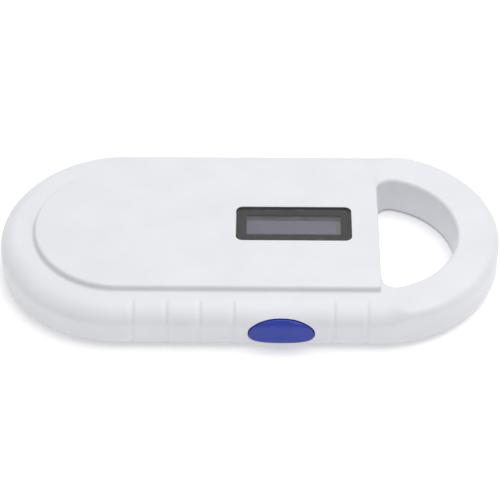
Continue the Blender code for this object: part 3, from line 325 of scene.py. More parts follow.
def panel_stations(end_segments=90, corner_segments=8):
    corner_x = PANEL_RIGHT_X - PANEL_CORNER
    corner_y = PANEL_RADIUS - PANEL_CORNER
    near = arc(corner_x, -corner_y, PANEL_CORNER, -QUARTER, 0, corner_segments)
    far = arc(corner_x, corner_y, PANEL_CORNER, 0, QUARTER, corner_segments)
    left_end = arc(-END_X, 0, PANEL_RADIUS, QUARTER, 3 * QUARTER, end_segments)
    return np.vstack([near, far, left_end])


def groove_depth(stations):
    """How deep the grip grooves are: each is one wave of a raised cosine across the -Y side."""
    away = np.min(np.abs(stations[:, :1] - np.array(GROOVE_CENTRES)), axis=1)
    wave = GROOVE_DEPTH * (0.5 + 0.5 * np.cos(2 * math.pi * away / GROOVE_WIDTH))
    on_button_side = stations[:, 3] < -1 + 1e-6
    return np.where(on_button_side & (away < GROOVE_WIDTH / 2), wave, 0)


def base_inset(z):
    """How far the base fillet lies inside the widest outline at height z."""
    below = np.clip(BASE_FILLET - np.asarray(z), 0, BASE_FILLET)
    return BASE_FILLET - np.sqrt(BASE_FILLET**2 - below**2)


def side_inset(z):
    """The same for the whole side by the button, its wide top edge included."""
    above = np.clip(np.asarray(z) - (BODY_HEIGHT - TOP_FILLET), 0, TOP_FILLET)
    return base_inset(z) + SHOULDER_WIDTH * (1 - np.sqrt(1 - (above / TOP_FILLET) ** 2))


def base_levels(low_z, high_z, steps):
    """Heights along the base fillet, evenly spaced in angle."""
    start = math.acos(1 - low_z / BASE_FILLET)
    end = math.acos(1 - high_z / BASE_FILLET)
    return BASE_FILLET * (1 - np.cos(np.linspace(start, end, steps + 1)))


def side_ring(stations, z, edge=0.0):
    inset = base_inset(z) + groove_depth(stations) + edge
    return level(grown(stations, 0) - stations[:, 2:] * inset[:, None], z)


def top_edge(stations):
    """The top edge's width and height: a wide shoulder at the button, and a small round on the ring."""
    x = stations[:, 0]
    near = smooth_step(-stations[:, 3], 0, NEAR_FACING)
    change_from = RING_FILLET_FROM_X + NEAR_CHANGE_LATER * near
    share = smooth_step(x, change_from, RING_FILLET_FULL_X - NEAR_CHANGE_SOONER * near)
    ring = RING_TOP_FILLET + RING_TIP_FILLET * near * smooth_step(x, RING_TIP_FROM_X, COVER_HIGH.x)
    grip = TOP_FILLET + (SHOULDER_WIDTH - TOP_FILLET) * near
    return grip + (ring - grip) * share, TOP_FILLET + (ring - TOP_FILLET) * share


def top_ring(stations, turn, groove_share):
    """One ring of the top edge. turn runs from 0 at the wall to a quarter turn at the flat."""
    width, height = top_edge(stations)
    groove = groove_depth(stations) * groove_share
    inset = width * (1 - math.cos(turn)) + groove * math.cos(turn)
    z = BODY_HEIGHT - height * (1 - math.sin(turn)) - groove * math.sin(turn)
    return level(stations[:, :2] - stations[:, 2:] * inset[:, None], z)


def inner_top_ring(stations, turn, top):
    """One ring of the cavity's top edge, as in top_ring. It has no shoulder and no grooves."""
    share = smooth_step(stations[:, 0], RING_FILLET_FROM_X, RING_FILLET_FULL_X)
    radius = np.maximum(TOP_FILLET + (RING_TOP_FILLET - TOP_FILLET) * share - WALL, INNER_EDGE_LEAST)
    inset = WALL + radius * (1 - math.cos(turn))
    return level(stations[:, :2] - stations[:, 2:] * inset[:, None], top - radius * (1 - math.sin(turn)))


# ---------------------------------------------------------------- covers


def lip_share(xs, flare):
    """How much of the hole's lip there is at x. A flared lip is full sooner, and wider in the corners."""
    if not flare:
        return smooth_step(xs, HOLE_LIP_FROM_X, HOLE_FLAT_X + HOLE_CORNER)
    start = smooth_step(xs, HOLE_LIP_FROM_X, FLARED_LIP_FULL_X)
    return start * (1 + flare * (1 - smooth_step(xs, FLARE_FADE_FROM_X, FLARE_FADE_END_X)))


def hole_cutter(low_z, high_z, low_lip, high_lip, flare=0.0, steps=8):
    """The D-shaped hole. Its round side opens out in a lip at both edges."""
    stations = hole_stations()
    middle_z = (low_z + high_z) / 2
    turns = np.linspace(0, QUARTER, steps + 1)
    levels = [(low_z - BEYOND, low_lip)]
    levels += [(low_z + low_lip * (1 - math.sin(t)), low_lip * (1 - math.cos(t))) for t in turns[::-1]]
    levels += [(high_z - high_lip * (1 - math.sin(t)), high_lip * (1 - math.cos(t))) for t in turns]
    levels.append((high_z + BEYOND, high_lip))
    rings = []
    for z, lip in levels:
        share = lip_share(stations[:, 0], flare if z > middle_z else 0.0)
        rings.append(level(stations[:, :2] + stations[:, 2:] * (lip * share)[:, None], z))
    return loft("hole_cutter", rings)


def raised_panel(steps=12):
    """The panel. Its side is one soft wave from foot to top, and steep beside the hole."""
    stations = panel_stations()
    beside_hole = smooth_step(stations[:, 2], 0, 1)
    foot = PANEL_EDGE * (1 - beside_hole)
    edge = PANEL_EDGE + (PANEL_RIGHT_EDGE - PANEL_EDGE) * beside_hole

    def ring(out, z):
        return level(stations[:, :2] + stations[:, 2:] * out[:, None], z)

    rings = [ring(foot * (1 - math.sin(PANEL_FOOT_START)), BODY_HEIGHT - PANEL_ROOT)]
    for turn in np.linspace(PANEL_FOOT_START, QUARTER, steps):
        rings.append(ring(foot * (1 - math.sin(turn)), BODY_HEIGHT + PANEL_EDGE * (1 - math.cos(turn))))
    for turn in np.linspace(0, QUARTER, steps):
        rings.append(ring(-edge * (1 - math.cos(turn)), PANEL_TOP - edge * (1 - math.sin(turn))))
    return loft("raised_panel", rings)


def cavity(low_z, ceiling):
    stations = plain_stations()
    rings = [level(grown(stations, -WALL), low_z)]
    rings += [inner_top_ring(stations, turn, ceiling) for turn in np.linspace(0, QUARTER, 5)]
    hollow = loft("cavity", rings)
    outline = grown(hole_stations(), WALL)
    wall = loft("hole_wall", [level(outline, -2 * BEYOND), level(outline, BODY_HEIGHT + BEYOND)])
    combine(hollow, wall)
    return hollow


def lipped_recess(outline_at, top_z, low_z, lip):
    """A cutter straight down from top_z to low_z, with a rounded lip at the top."""
    rings = [level(outline_at(0), low_z)]
    for turn in np.linspace(0, QUARTER, 4):
        rings.append(level(outline_at(lip * (1 - math.cos(turn))), top_z - lip * (1 - math.sin(turn))))
    above = 0.5 * MM
    rings.append(level(outline_at(LIP_FLARE * lip), top_z + above))
    return loft("recess", rings)


def button_outline(share=1.0, grow=0.0, count=160):
    """The button's full oval as (x, z). Its lower half is flatter than its upper half."""
    angles = np.linspace(0, 2 * math.pi, count, endpoint=False)
    power = 2 / BUTTON_FULLNESS
    across = np.sign(np.cos(angles)) * np.abs(np.cos(angles)) ** power
    upward = np.sign(np.sin(angles)) * np.abs(np.sin(angles)) ** power
    height = np.where(upward >= 0, BUTTON_RISE, BUTTON_DROP)
    x = BUTTON_X + (BUTTON_HALF_WIDTH * share + grow) * across
    return np.column_stack([x, BUTTON_Z + (height * share + grow) * upward])


def button_opening():
    """Follows the side's curve, so that its lip is even all round."""
    lip = 0.2 * MM
    above = 0.3 * MM
    reach = 4.1 * MM
    rings = [upright(button_outline(grow=BUTTON_GAP + LIP_FLARE * lip), -END_RADIUS - BEYOND)]
    for depth, grow in ((-above, LIP_FLARE * lip), (0, lip), (0.3 * lip, 0.3 * lip), (lip, 0)):
        outline = button_outline(grow=BUTTON_GAP + grow)
        rings.append(upright(outline, side_inset(outline[:, 1]) - END_RADIUS + depth))
    rings.append(upright(button_outline(grow=BUTTON_GAP), -END_RADIUS + reach))
    return loft("button_opening", rings)


def socket_opening():
    low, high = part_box("usb_shell")
    margin = 0.5 * MM
    corner = 0.9 * MM
    lip = 0.25 * MM
    stations = rounded_rectangle((low.x - margin, low.z - margin), (high.x + margin, high.z + margin), corner)
    rings = [upright(grown(stations, 0), END_RADIUS - WALL - BEYOND)]
    for turn in np.linspace(0, QUARTER, 4):
        outline = grown(stations, lip * (1 - math.cos(turn)))
        rings.append(upright(outline, END_RADIUS - lip * (1 - math.sin(turn))))
    rings.append(upright(grown(stations, LIP_FLARE * lip), END_RADIUS + BEYOND))
    return loft("socket_opening", rings)


def make_front_cover(look):
    stations = body_stations()
    rings = [side_ring(stations, SEAM_HIGH, EDGE_BREAK)]
    rings += [side_ring(stations, z) for z in base_levels(SEAM_HIGH + EDGE_BREAK, BASE_FILLET, 9)]
    below_top_edge = 0.4 * MM
    rings.append(side_ring(stations, BODY_HEIGHT - TOP_FILLET - below_top_edge))
    for turn in np.linspace(0, QUARTER, 17):
        share = 1 - float(smooth_step(turn / QUARTER, GROOVE_FADE_FROM, 1))
        rings.append(top_ring(stations, turn, share))
    cover = loft("housing_front", rings)
    combine(cover, raised_panel(), "UNION")
    combine(cover, cavity(SEAM_HIGH - BEYOND, BODY_HEIGHT - WALL))
    combine(cover, hole_cutter(SEAM_HIGH, BODY_HEIGHT, EDGE_BREAK, HOLE_LIP, HOLE_FLARE))
    cut_display_recess(cover)
    combine(cover, button_opening())
    combine(cover, socket_opening())
    return place(cover, look, "shell", "front_cover")


def cut_display_recess(cover):
    """The lens's recess, and the opening under it that the display shows through."""
    lens_low, lens_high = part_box("display_lens")
    mask_low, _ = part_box("lens_mask")
    under_mask = 0.1 * MM
    lip = 0.12 * MM

    def lens_outline(grow):
        inner = rounded_rectangle(lens_low, lens_high, LENS_CORNER)
        return grown(inner, LENS_GAP + grow)

    combine(cover, lipped_recess(lens_outline, PANEL_TOP, mask_low.z - under_mask, lip))
    glass_low, glass_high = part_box("display_panel")
    margin = Vector((0.4 * MM, 0.4 * MM, 0))
    corner = 0.5 * MM
    opening = grown(rounded_rectangle(glass_low - margin, glass_high + margin, corner, 4), 0)
    levels = [level(opening, BODY_HEIGHT - 2 * WALL), level(opening, PANEL_TOP)]
    combine(cover, loft("glass_opening", levels))


def make_rear_cover(look):
    stations = body_stations()
    base = base_levels(0, SEAM_LOW - EDGE_BREAK, 7)
    rings = [side_ring(stations, z) for z in base]
    rings.append(side_ring(stations, SEAM_LOW, EDGE_BREAK))
    for z, inset in (
        (SEAM_LOW, TONGUE_OUT),
        (TONGUE_TOP, TONGUE_OUT),
        (TONGUE_TOP, TONGUE_IN),
        (FLOOR_Z, TONGUE_IN),
    ):
        rings.append(level(grown(stations, -inset), z))
    cover = loft("housing_rear", rings)
    add_hole_tongue(cover)
    combine(cover, hole_cutter(0, SEAM_LOW, HOLE_BASE_LIP, EDGE_BREAK))
    cut_button_notch(cover)
    for number in range(1, COVER_SCREWS + 1):
        add_screw_seat(cover, *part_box(f"cover_screw_{number}"))
    add_sound_holes(cover)
    add_label_recess(cover)
    return place(cover, look, "rear_shell", "rear_cover")


def add_hole_tongue(cover):
    """The tongue round the ring's hole, and the ledge beside it under the front cover's wall."""
    root = 0.6 * MM
    below_tongue = 0.05 * MM
    outline = grown(hole_stations(), TONGUE_IN)
    levels = [level(outline, FLOOR_Z - root), level(outline, TONGUE_TOP - below_tongue)]
    combine(cover, loft("hole_tongue", levels), "UNION")
    outline = grown(hole_stations(), TONGUE_OUT)
    combine(cover, loft("hole_ledge", [level(outline, SEAM_LOW), level(outline, TONGUE_TOP + BEYOND)]))


def cut_button_notch(cover):
    """Takes the tongue away behind the button."""
    half_width = 13.2 * MM
    outer_depth = 1.8 * MM
    inner_depth = 4.4 * MM
    bottom_z = 1.85 * MM
    corner = 0.3 * MM
    notch_low = (BUTTON_X - half_width, -END_RADIUS + outer_depth)
    notch_high = (BUTTON_X + half_width, -END_RADIUS + inner_depth)
    outline = grown(rounded_rectangle(notch_low, notch_high, corner, 2), 0)
    combine(cover, loft("notch", [level(outline, bottom_z), level(outline, TONGUE_TOP + BEYOND)]))


def disc(x, y, radius, segments=48):
    return arc(x, y, radius, 0, 2 * math.pi * (1 - 1 / segments), segments - 1)


def hole_from_below(name, stations, top_z, lip):
    """A cutter up from the underside, with a rounded lip there."""
    rings = [level(grown(stations, LIP_FLARE * lip), -BEYOND)]
    for turn in np.linspace(QUARTER, 0, 4):
        rings.append(level(grown(stations, lip * (1 - math.cos(turn))), lip * (1 - math.sin(turn))))
    rings.append(level(grown(stations, 0), top_z))
    return loft(name, rings)


def add_screw_seat(cover, low, high):
    """A cup that the screw's head sits in, with its bore open to the underside."""
    cup_radius = 2.8 * MM
    cup_root = 0.9 * MM
    cup_top = 3.9 * MM
    bore_radius = 2.15 * MM
    bore_top = 2.3 * MM
    bore_lip = 0.2 * MM
    shank_hole_radius = 1.4 * MM
    shank_hole_low = 1.9 * MM
    centre = (low + high) / 2
    cup = grown(disc(centre.x, centre.y, cup_radius), 0)
    combine(cover, loft("cup", [level(cup, FLOOR_Z - cup_root), level(cup, cup_top)]), "UNION")
    bore = disc(centre.x, centre.y, bore_radius)
    combine(cover, hole_from_below("bore", bore, bore_top, bore_lip))
    hole = grown(disc(centre.x, centre.y, shank_hole_radius, 32), 0)
    combine(cover, loft("hole", [level(hole, shank_hole_low), level(hole, cup_top + BEYOND)]))


def add_sound_holes(cover):
    """One hole under the buzzer's middle and a ring of six round it."""
    low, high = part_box("buzzer")
    ring_radius = 2.6 * MM
    hole_radius = 0.75 * MM
    lip = 0.15 * MM
    centre = (low + high) / 2
    ring = disc(centre.x, centre.y, ring_radius, 6)[:, :2].tolist()
    for x, y in [(centre.x, centre.y), *ring]:
        hole = disc(x, y, hole_radius, 32)
        combine(cover, hole_from_below("sound_hole", hole, FLOOR_Z + BEYOND, lip))


def add_label_recess(cover):
    low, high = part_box("rear_label")
    corner = 1.5 * MM
    wide = 0.45 * MM
    narrow = 0.3 * MM
    stations = rounded_rectangle(low, high, corner)
    levels = ((wide, -BEYOND), (wide, 0), (narrow, 0.15 * MM), (narrow, 0.35 * MM))
    rings = [level(grown(stations, margin), z) for margin, z in levels]
    combine(cover, loft("label_recess", rings))


# ---------------------------------------------------------------- button


def button_face(share):
    """One ring of the button's outer face: share runs from 0 in the middle to 1 at the rim."""
    outline = button_outline(share)
    proud = BUTTON_EDGE_PROUD + (BUTTON_PROUD - BUTTON_EDGE_PROUD) * (1 - share**4)
    return upright(outline, side_inset(outline[:, 1]) - END_RADIUS - proud)


def make_button(look):
    rim = 0.25 * MM
    rings = [button_face(share) for share in (0.06, 0.2, 0.35, 0.5, 0.62, 0.74, 0.84, 0.91, 0.955)]
    edge = button_face(1)
    middle = np.array([BUTTON_X, 0, BUTTON_Z])
    inward = (middle - edge) * np.array([1, 0, 1])
    inward /= np.linalg.norm(inward, axis=1)[:, None]
    for turn in np.linspace(QUARTER, 0, 6):
        ring = edge + inward * rim * (1 - math.cos(turn))
        ring[:, 1] += rim * (1 - math.sin(turn))
        rings.append(ring)
    inner_wall_y = -(END_RADIUS - WALL)
    cap_root = 0.5 * MM
    back = edge.copy()
    back[:, 1] = inner_wall_y + cap_root
    rings.append(back)
    cap = loft("button_cap", rings)
    low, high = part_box("side_button")
    flange_gap = 0.35 * MM
    flange_y = inner_wall_y + flange_gap
    flange_thick = 1 * MM
    flange_bottom_z = 3.4 * MM
    flange_top_z = 9 * MM
    corner = 0.4 * MM
    outline = grown(rounded_rectangle((low.x, flange_bottom_z), (high.x, flange_top_z), corner, 4), 0)
    flange = loft("flange", [upright(outline, flange_y), upright(outline, flange_y + flange_thick)])
    combine(cap, flange, "UNION")
    stem_radius = 1.5 * MM
    stem_root = 0.5 * MM
    outline = grown(disc(BUTTON_X, BUTTON_Z, stem_radius, 32), 0)
    stem = loft("stem", [upright(outline, flange_y + stem_root), upright(outline, high.y)])
    combine(cap, stem, "UNION")
    return place(cap, look, "button", "side_button", body="button")


# ---------------------------------------------------------------- display


def make_lens(clear, border):
    """The clear window. Its edge is blackened, like the border printed on its back."""
    low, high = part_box("display_lens")
    stations = rounded_rectangle(low, high, LENS_CORNER, 14)
    edge = 0.1 * MM
    side_tilt = 0.3  # a face whose normal rises less than this belongs to the edge
    rings = [level(grown(stations, 0), low.z)]
    for turn in np.linspace(0, QUARTER, 5):
        outline = grown(stations, -edge * (1 - math.cos(turn)))
        rings.append(level(outline, high.z - edge * (1 - math.sin(turn))))
    lens = loft("window_lens", rings)
    lens.data.materials.append(clear)
    lens.data.materials.append(border)
    for polygon in lens.data.polygons:
        polygon.material_index = 1 if abs(polygon.normal.z) < side_tilt else 0
    made = place(lens, None, "lens", "display_lens")
    made.visible_shadow = False  # the acrylic is clear, so it doesn't darken what is under it
    return made


def make_border(look):
    low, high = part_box("lens_mask")
    window_low, window_high = window_box()
    outer = rounded_rectangle(low, high, LENS_CORNER, 14)
    inner_corner = 0.25 * MM
    inner = rounded_rectangle(window_low, window_high, inner_corner, 14)
    rings = [
        level(grown(outer, 0), low.z),
        level(grown(outer, 0), high.z),
        level(grown(inner, 0), high.z),
        level(grown(inner, 0), low.z),
    ]
    return place(loft("window_border", rings, closed=True), look, "mask", "lens_mask")


def window_box():
    """The clear part inside the printed border, read from the border's own inner corners."""
    corners = np.array([vertex.co for vertex in frame["nodes"]["lens_mask"].data.vertices])
    low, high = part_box("lens_mask")
    margin = 1 * MM
    inside = corners[
        (corners[:, 0] > low.x + margin)
        & (corners[:, 0] < high.x - margin)
        & (corners[:, 1] > low.y + margin)
        & (corners[:, 1] < high.y - margin)
    ]
    return Vector(inside.min(axis=0).tolist()), Vector(inside.max(axis=0).tolist())


def slab(name, low, high, corner, edge, look):
    """A plate with rounded corners and broken edges."""
    stations = rounded_rectangle(low, high, corner, 5)
    rings = [
        level(grown(stations, -edge), low.z),
        level(grown(stations, 0), low.z + edge),
        level(grown(stations, 0), high.z - edge),
        level(grown(stations, -edge), high.z),
    ]
    made = loft(name, rings)
    made.data.materials.append(look)
    return made


def make_display(glass, film, shade_band):
    """The display's glass, the polarising film over most of it, and a dark strip of painted shade beyond the
    film's far edge, which stands for the recess's far wall reflected dark in the glass.
    """
    low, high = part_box("display_panel")
    film_thick = 0.14 * MM
    film_gap = 0.01 * MM
    rim_x = 0.25 * MM
    rim_y = 0.3 * MM
    glass_corner = 0.3 * MM
    glass_edge = 0.06 * MM
    corner = 0.15 * MM
    edge = 0.03 * MM
    shade_band_drop = 0.02 * MM
    body = slab("glass", low, high - Vector((0, 0, film_thick)), glass_corner, glass_edge, glass)
    film_low = Vector((low.x + rim_x, low.y + rim_y, high.z - film_thick + film_gap))
    film_high = Vector((FILM_RIGHT_X, FILM_FAR_Y, high.z))
    sheet = slab("film", film_low, film_high, corner, edge, film)
    # painted shade: a near-black strip beyond the film's far edge stands for the recess's far wall reflected
    # dark in the glass
    shade_band_low = Vector((film_low.x, FILM_FAR_Y + SHADE_BAND_GAP, film_low.z))
    shade_band_high = Vector((high.x - rim_x, high.y - rim_y, high.z - shade_band_drop))
    shade_strip = slab("shade_band", shade_band_low, shade_band_high, corner, edge, shade_band)
    return place(join("display_glass", [body, sheet, shade_strip]), None, "display_glass", "display_panel")


# ---------------------------------------------------------------- socket, screws and label


def socket_outline(inset):
    """The socket's mouth as (x, z): a rectangle with its two lower corners cut, all corners rounded."""
    low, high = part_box("usb_shell")
    cut = 0.9 * MM
    points = [
        (low.x + cut, low.z),
        (high.x - cut, low.z),
        (high.x, low.z + cut),
        (high.x, high.z),
        (low.x, high.z),
        (low.x, low.z + cut),
    ]
    radius = 0.35 * MM
    found = []
    for i, point in enumerate(points):
        here = Vector(point)
        before = (Vector(points[i - 1]) - here).normalized() * radius
        after = (Vector(points[(i + 1) % len(points)]) - here).normalized() * radius
        for t in np.linspace(0, 1, 6):
            found.append(here + before * (1 - t) ** 2 + after * t**2)
    outline = np.array([[point.x, point.y] for point in found])
    centre = outline.mean(axis=0)
    half = (outline.max(axis=0) - outline.min(axis=0)) / 2
    return centre + (outline - centre) * (half - inset) / half


def make_socket(steel, resin, gold):
    low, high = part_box("usb_shell")
    wall = 0.3 * MM
    back_thick = 1.2 * MM
    floor_y = low.y + back_thick
    edge = 0.08 * MM
    rings = [
        upright(socket_outline(0), low.y),
        upright(socket_outline(0), high.y - edge),
        upright(socket_outline(edge), high.y),
        upright(socket_outline(wall - edge), high.y),
        upright(socket_outline(wall), high.y - edge),
        upright(socket_outline(wall), floor_y),
    ]
    place(loft("socket_shell", rings), steel, "plated_steel", "usb_shell")
    low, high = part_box("usb_tongue")
    tongue = slab("tongue", low, high, 0.15 * MM, 0.06 * MM, resin)
    pieces = [tongue]
    count = 5
    pitch = 0.65 * MM
    half_width = 0.15 * MM
    back_gap = 0.2 * MM
    front_gap = 0.5 * MM
    proud = 0.03 * MM
    sunk = 0.05 * MM
    middle_x = (low.x + high.x) / 2
    for i in range(count):
        x = middle_x + (i - (count - 1) / 2) * pitch
        strip_low = Vector((x - half_width, low.y + back_gap, low.z - proud))
        strip_high = Vector((x + half_width, high.y - front_gap, low.z + sunk))
        pieces.append(slab(f"contact_{i}", strip_low, strip_high, 0.05 * MM, 0.015 * MM, gold))
    place(join("socket_contacts", pieces), None, "socket_resin", "usb_tongue")


def screw_profile(top_z):
    """(z, radius) up a self-tapping screw: domed head, shank with thread ridges, and point."""
    shank = 0.85 * MM
    crest = 1.1 * MM
    ridge = 0.16 * MM  # half the width of a thread ridge
    pitch = 0.8 * MM
    point = 1.6 * MM
    profile = [(0.4 * MM, 1.2 * MM), (0.46 * MM, 1.5 * MM), (0.62 * MM, 1.74 * MM), (0.85 * MM, 1.84 * MM)]
    profile += [(1.9 * MM, 1.85 * MM), (2.0 * MM, 1.78 * MM), (2.0 * MM, shank)]
    z = 2.6 * MM
    while z < top_z - point:
        profile += [(z - ridge, shank), (z, crest), (z + ridge, shank)]
        z += pitch
    return profile + [(top_z - 1 * MM, 0.8 * MM), (top_z, 0.25 * MM)]


def make_cover_screws(look):
    """Six screws from one master. Each has a cross drive, and its own turn."""
    _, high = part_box("cover_screw_1")
    profile = screw_profile(high.z)
    master = loft("screw", [level(grown(disc(0, 0, radius, 40), 0), z) for z, radius in profile])
    arm = 1.15 * MM
    half = 0.25 * MM
    drive_depth = 1.3 * MM
    flare = 0.12 * MM
    taper = 0.08 * MM
    for corners in (((-arm, -half), (arm, half)), ((-half, -arm), (half, arm))):
        outline = rounded_rectangle(corners[0], corners[1], 0.1 * MM, 3)
        rings = [level(grown(outline, flare), 0), level(grown(outline, -taper), drive_depth)]
        combine(master, loft("drive", rings))
    mesh = master.data
    turn_between = 0.7
    for number in range(1, COVER_SCREWS + 1):
        low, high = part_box(f"cover_screw_{number}")
        copy = bpy.data.objects.new(f"case_screw_{number}", mesh.copy())
        bpy.context.scene.collection.objects.link(copy)
        copy.rotation_euler = (0, 0, number * turn_between)
        copy.location = ((low.x + high.x) / 2, (low.y + high.y) / 2, 0)
        place(copy, look, "screw_steel", f"cover_screw_{number}")
    bpy.data.objects.remove(master, do_unlink=True)


def make_label(look):
    low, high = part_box("rear_label")
    label = slab("blank_label", low, high, 1.5 * MM, 0.03 * MM, look)
    place(label, None, "label", "rear_label")


# ---------------------------------------------------------------- materials


def start_material(name):
    made = bpy.data.materials.new(name)
    made.use_nodes = True
    tree = made.node_tree
    return made, tree, tree.nodes["Principled BSDF"]


def add_node(tree, kind, **values):
    node = tree.nodes.new(kind)
    for key, value in values.items():
        if key in node.inputs:
            node.inputs[key].default_value = value
        else:
            setattr(node, key, value)
    return node


def coordinates(tree):
    return add_node(tree, "ShaderNodeTexCoord").outputs["Object"]


def noise(tree, size, detail=2.0, rough=0.5, coords=None):
    """A noise value from 0 to 1 whose features are about size across."""
    node = add_node(tree, "ShaderNodeTexNoise", Scale=1 / size, Detail=detail, Roughness=rough)
    tree.links.new(coords or coordinates(tree), node.inputs["Vector"])
    return node.outputs["Fac"]


def mapped(tree, value, low, high, to_low, to_high):
    limits = {"From Min": low, "From Max": high, "To Min": to_low, "To Max": to_high}
    node = add_node(tree, "ShaderNodeMapRange", **limits)
    tree.links.new(value, node.inputs["Value"])
    return node.outputs["Result"]


def blended(tree, factor, first, second):
    """A colour between two, where each is a colour or a socket."""
    node = add_node(tree, "ShaderNodeMix", data_type="RGBA")
    colour_sockets = [socket for socket in node.inputs if socket.type == "RGBA"]
    tree.links.new(factor, node.inputs[0])
    for socket, colour in zip(colour_sockets, (first, second)):
        if isinstance(colour, bpy.types.NodeSocket):
            tree.links.new(colour, socket)
        else:
            socket.default_value = (*colour, 1)
    return [socket for socket in node.outputs if socket.type == "RGBA"][0]


def bumped(tree, height, distance, normal=None):
    node = add_node(tree, "ShaderNodeBump", Strength=1.0, Distance=distance)
    tree.links.new(height, node.inputs["Height"])
    if normal:
        tree.links.new(normal, node.inputs["Normal"])
    return node.outputs["Normal"]


def moulded(name, colour, roughness, patch=14 * MM, grain=0.3 * MM, relief=0.006 * MM, shift=0.03, shine=0.5):
    """Moulded plastic: fine eroded grain, a faint orange-peel wave, and slow changes of tone and gloss."""
    spread = 0.04  # how far the roughness wanders
    made, tree, shader = start_material(name)
    shader.inputs["Specular IOR Level"].default_value = shine
    coords = coordinates(tree)
    slow = noise(tree, patch, 3, coords=coords)
    darker = tuple(channel * (1 - shift) for channel in colour)
    lighter = tuple(min(channel * (1 + shift * 0.5), 1) for channel in colour)
    tone = mapped(tree, slow, 0.3, 0.7, 0, 1)
    tree.links.new(blended(tree, tone, darker, lighter), shader.inputs["Base Color"])
    uneven = noise(tree, patch * 0.6, 4, coords=coords)
    gloss = mapped(tree, uneven, 0.3, 0.7, roughness - spread, roughness + spread)
    tree.links.new(gloss, shader.inputs["Roughness"])
    wave = bumped(tree, noise(tree, 2.5 * MM, 1, coords=coords), relief * 0.6)
    fine = bumped(tree, noise(tree, grain, 3, 0.6, coords), relief, normal=wave)
    tree.links.new(fine, shader.inputs["Normal"])
    return made


def metal(name, colour, roughness, grain=0.2 * MM, relief=0.002 * MM, stretch=(1, 1, 8)):
    """Bare or plated metal with drawn marks and a little tarnish."""
    made, tree, shader = start_material(name)
    shader.inputs["Metallic"].default_value = 1
    coords = coordinates(tree)
    drawn = add_node(tree, "ShaderNodeMapping", Scale=stretch)
    tree.links.new(coords, drawn.inputs["Vector"])
    marks = noise(tree, grain * 4, 3, coords=drawn.outputs["Vector"])
    tarnish = mapped(tree, noise(tree, 3 * MM, 3, coords=coords), 0.35, 0.75, 0, 1)
    duller = tuple(channel * 0.78 for channel in colour)
    tree.links.new(blended(tree, tarnish, colour, duller), shader.inputs["Base Color"])
    gloss = mapped(tree, marks, 0.2, 0.8, roughness * 0.75, roughness * 1.35)
    tree.links.new(gloss, shader.inputs["Roughness"])
    tree.links.new(bumped(tree, marks, relief), shader.inputs["Normal"])
    return made


def clear_acrylic(name):
    """Clear plastic with a trace of haze and a few fine rub marks."""
    made, tree, shader = start_material(name)
    shader.inputs["Base Color"].default_value = (0.96, 0.965, 0.975, 1)
    shader.inputs["IOR"].default_value = 1.49
    shader.inputs["Transmission Weight"].default_value = 1
    coords = coordinates(tree)
    rubbed = add_node(tree, "ShaderNodeMapping", Scale=(0.25, 1.6, 1), Rotation=(0, 0, 0.35))
    tree.links.new(coords, rubbed.inputs["Vector"])
    marks = noise(tree, 0.4 * MM, 4, 0.6, rubbed.outputs["Vector"])
    tree.links.new(mapped(tree, marks, 0.55, 0.8, 0.02, 0.12), shader.inputs["Roughness"])
    tree.links.new(bumped(tree, noise(tree, 6 * MM, 1, coords=coords), 0.004 * MM), shader.inputs["Normal"])
    return made


def display_film(name):
    """Unlit display: a grey-violet polariser with the faint grid of the pixels under it."""
    made, tree, shader = start_material(name)
    coords = coordinates(tree)
    pixel_pitch = 0.175 * MM
    grid = add_node(tree, "ShaderNodeTexBrick", Scale=1 / pixel_pitch)
    grid.offset = 0
    grid.inputs["Mortar Size"].default_value = 0.06
    grid.inputs["Brick Width"].default_value = 1
    grid.inputs["Row Height"].default_value = 1
    tree.links.new(coords, grid.inputs["Vector"])
    base = mapped(tree, noise(tree, 9 * MM, 2, coords=coords), 0.3, 0.7, 0, 1)
    tone = blended(tree, base, (0.088, 0.083, 0.113), (0.098, 0.093, 0.126))
    pixels = mapped(tree, grid.outputs["Fac"], 0, 1, 0, 0.25)
    tree.links.new(blended(tree, pixels, tone, (0.08, 0.08, 0.105)), shader.inputs["Base Color"])
    gloss = mapped(tree, noise(tree, 2 * MM, 3, coords=coords), 0.3, 0.7, 0.18, 0.26)
    tree.links.new(gloss, shader.inputs["Roughness"])
    return made


def circuit_board(name):
    """Green solder mask over copper tracks, with the mask's slight sheen."""
    made, tree, shader = start_material(name)
    coords = coordinates(tree)
    cells = add_node(tree, "ShaderNodeTexVoronoi", Scale=1 / (2.2 * MM), distance="MANHATTAN", feature="F1")
    tree.links.new(coords, cells.inputs["Vector"])
    wave = add_node(tree, "ShaderNodeTexWave", Scale=1 / (9 * MM), Distortion=0, wave_profile="SAW")
    tree.links.new(cells.outputs["Position"], wave.inputs["Vector"])
    tracks = mapped(tree, cells.outputs["Distance"], 0.42, 0.46, 0, 1)
    mask = blended(tree, noise(tree, 8 * MM, 2, coords=coords), (0.012, 0.11, 0.045), (0.018, 0.15, 0.06))
    tree.links.new(blended(tree, tracks, mask, (0.03, 0.23, 0.09)), shader.inputs["Base Color"])
    tree.links.new(mapped(tree, wave.outputs["Fac"], 0, 1, 0.28, 0.4), shader.inputs["Roughness"])
    tree.links.new(bumped(tree, tracks, 0.02 * MM), shader.inputs["Normal"])
    shader.inputs["Coat Weight"].default_value = 0.3
    return made


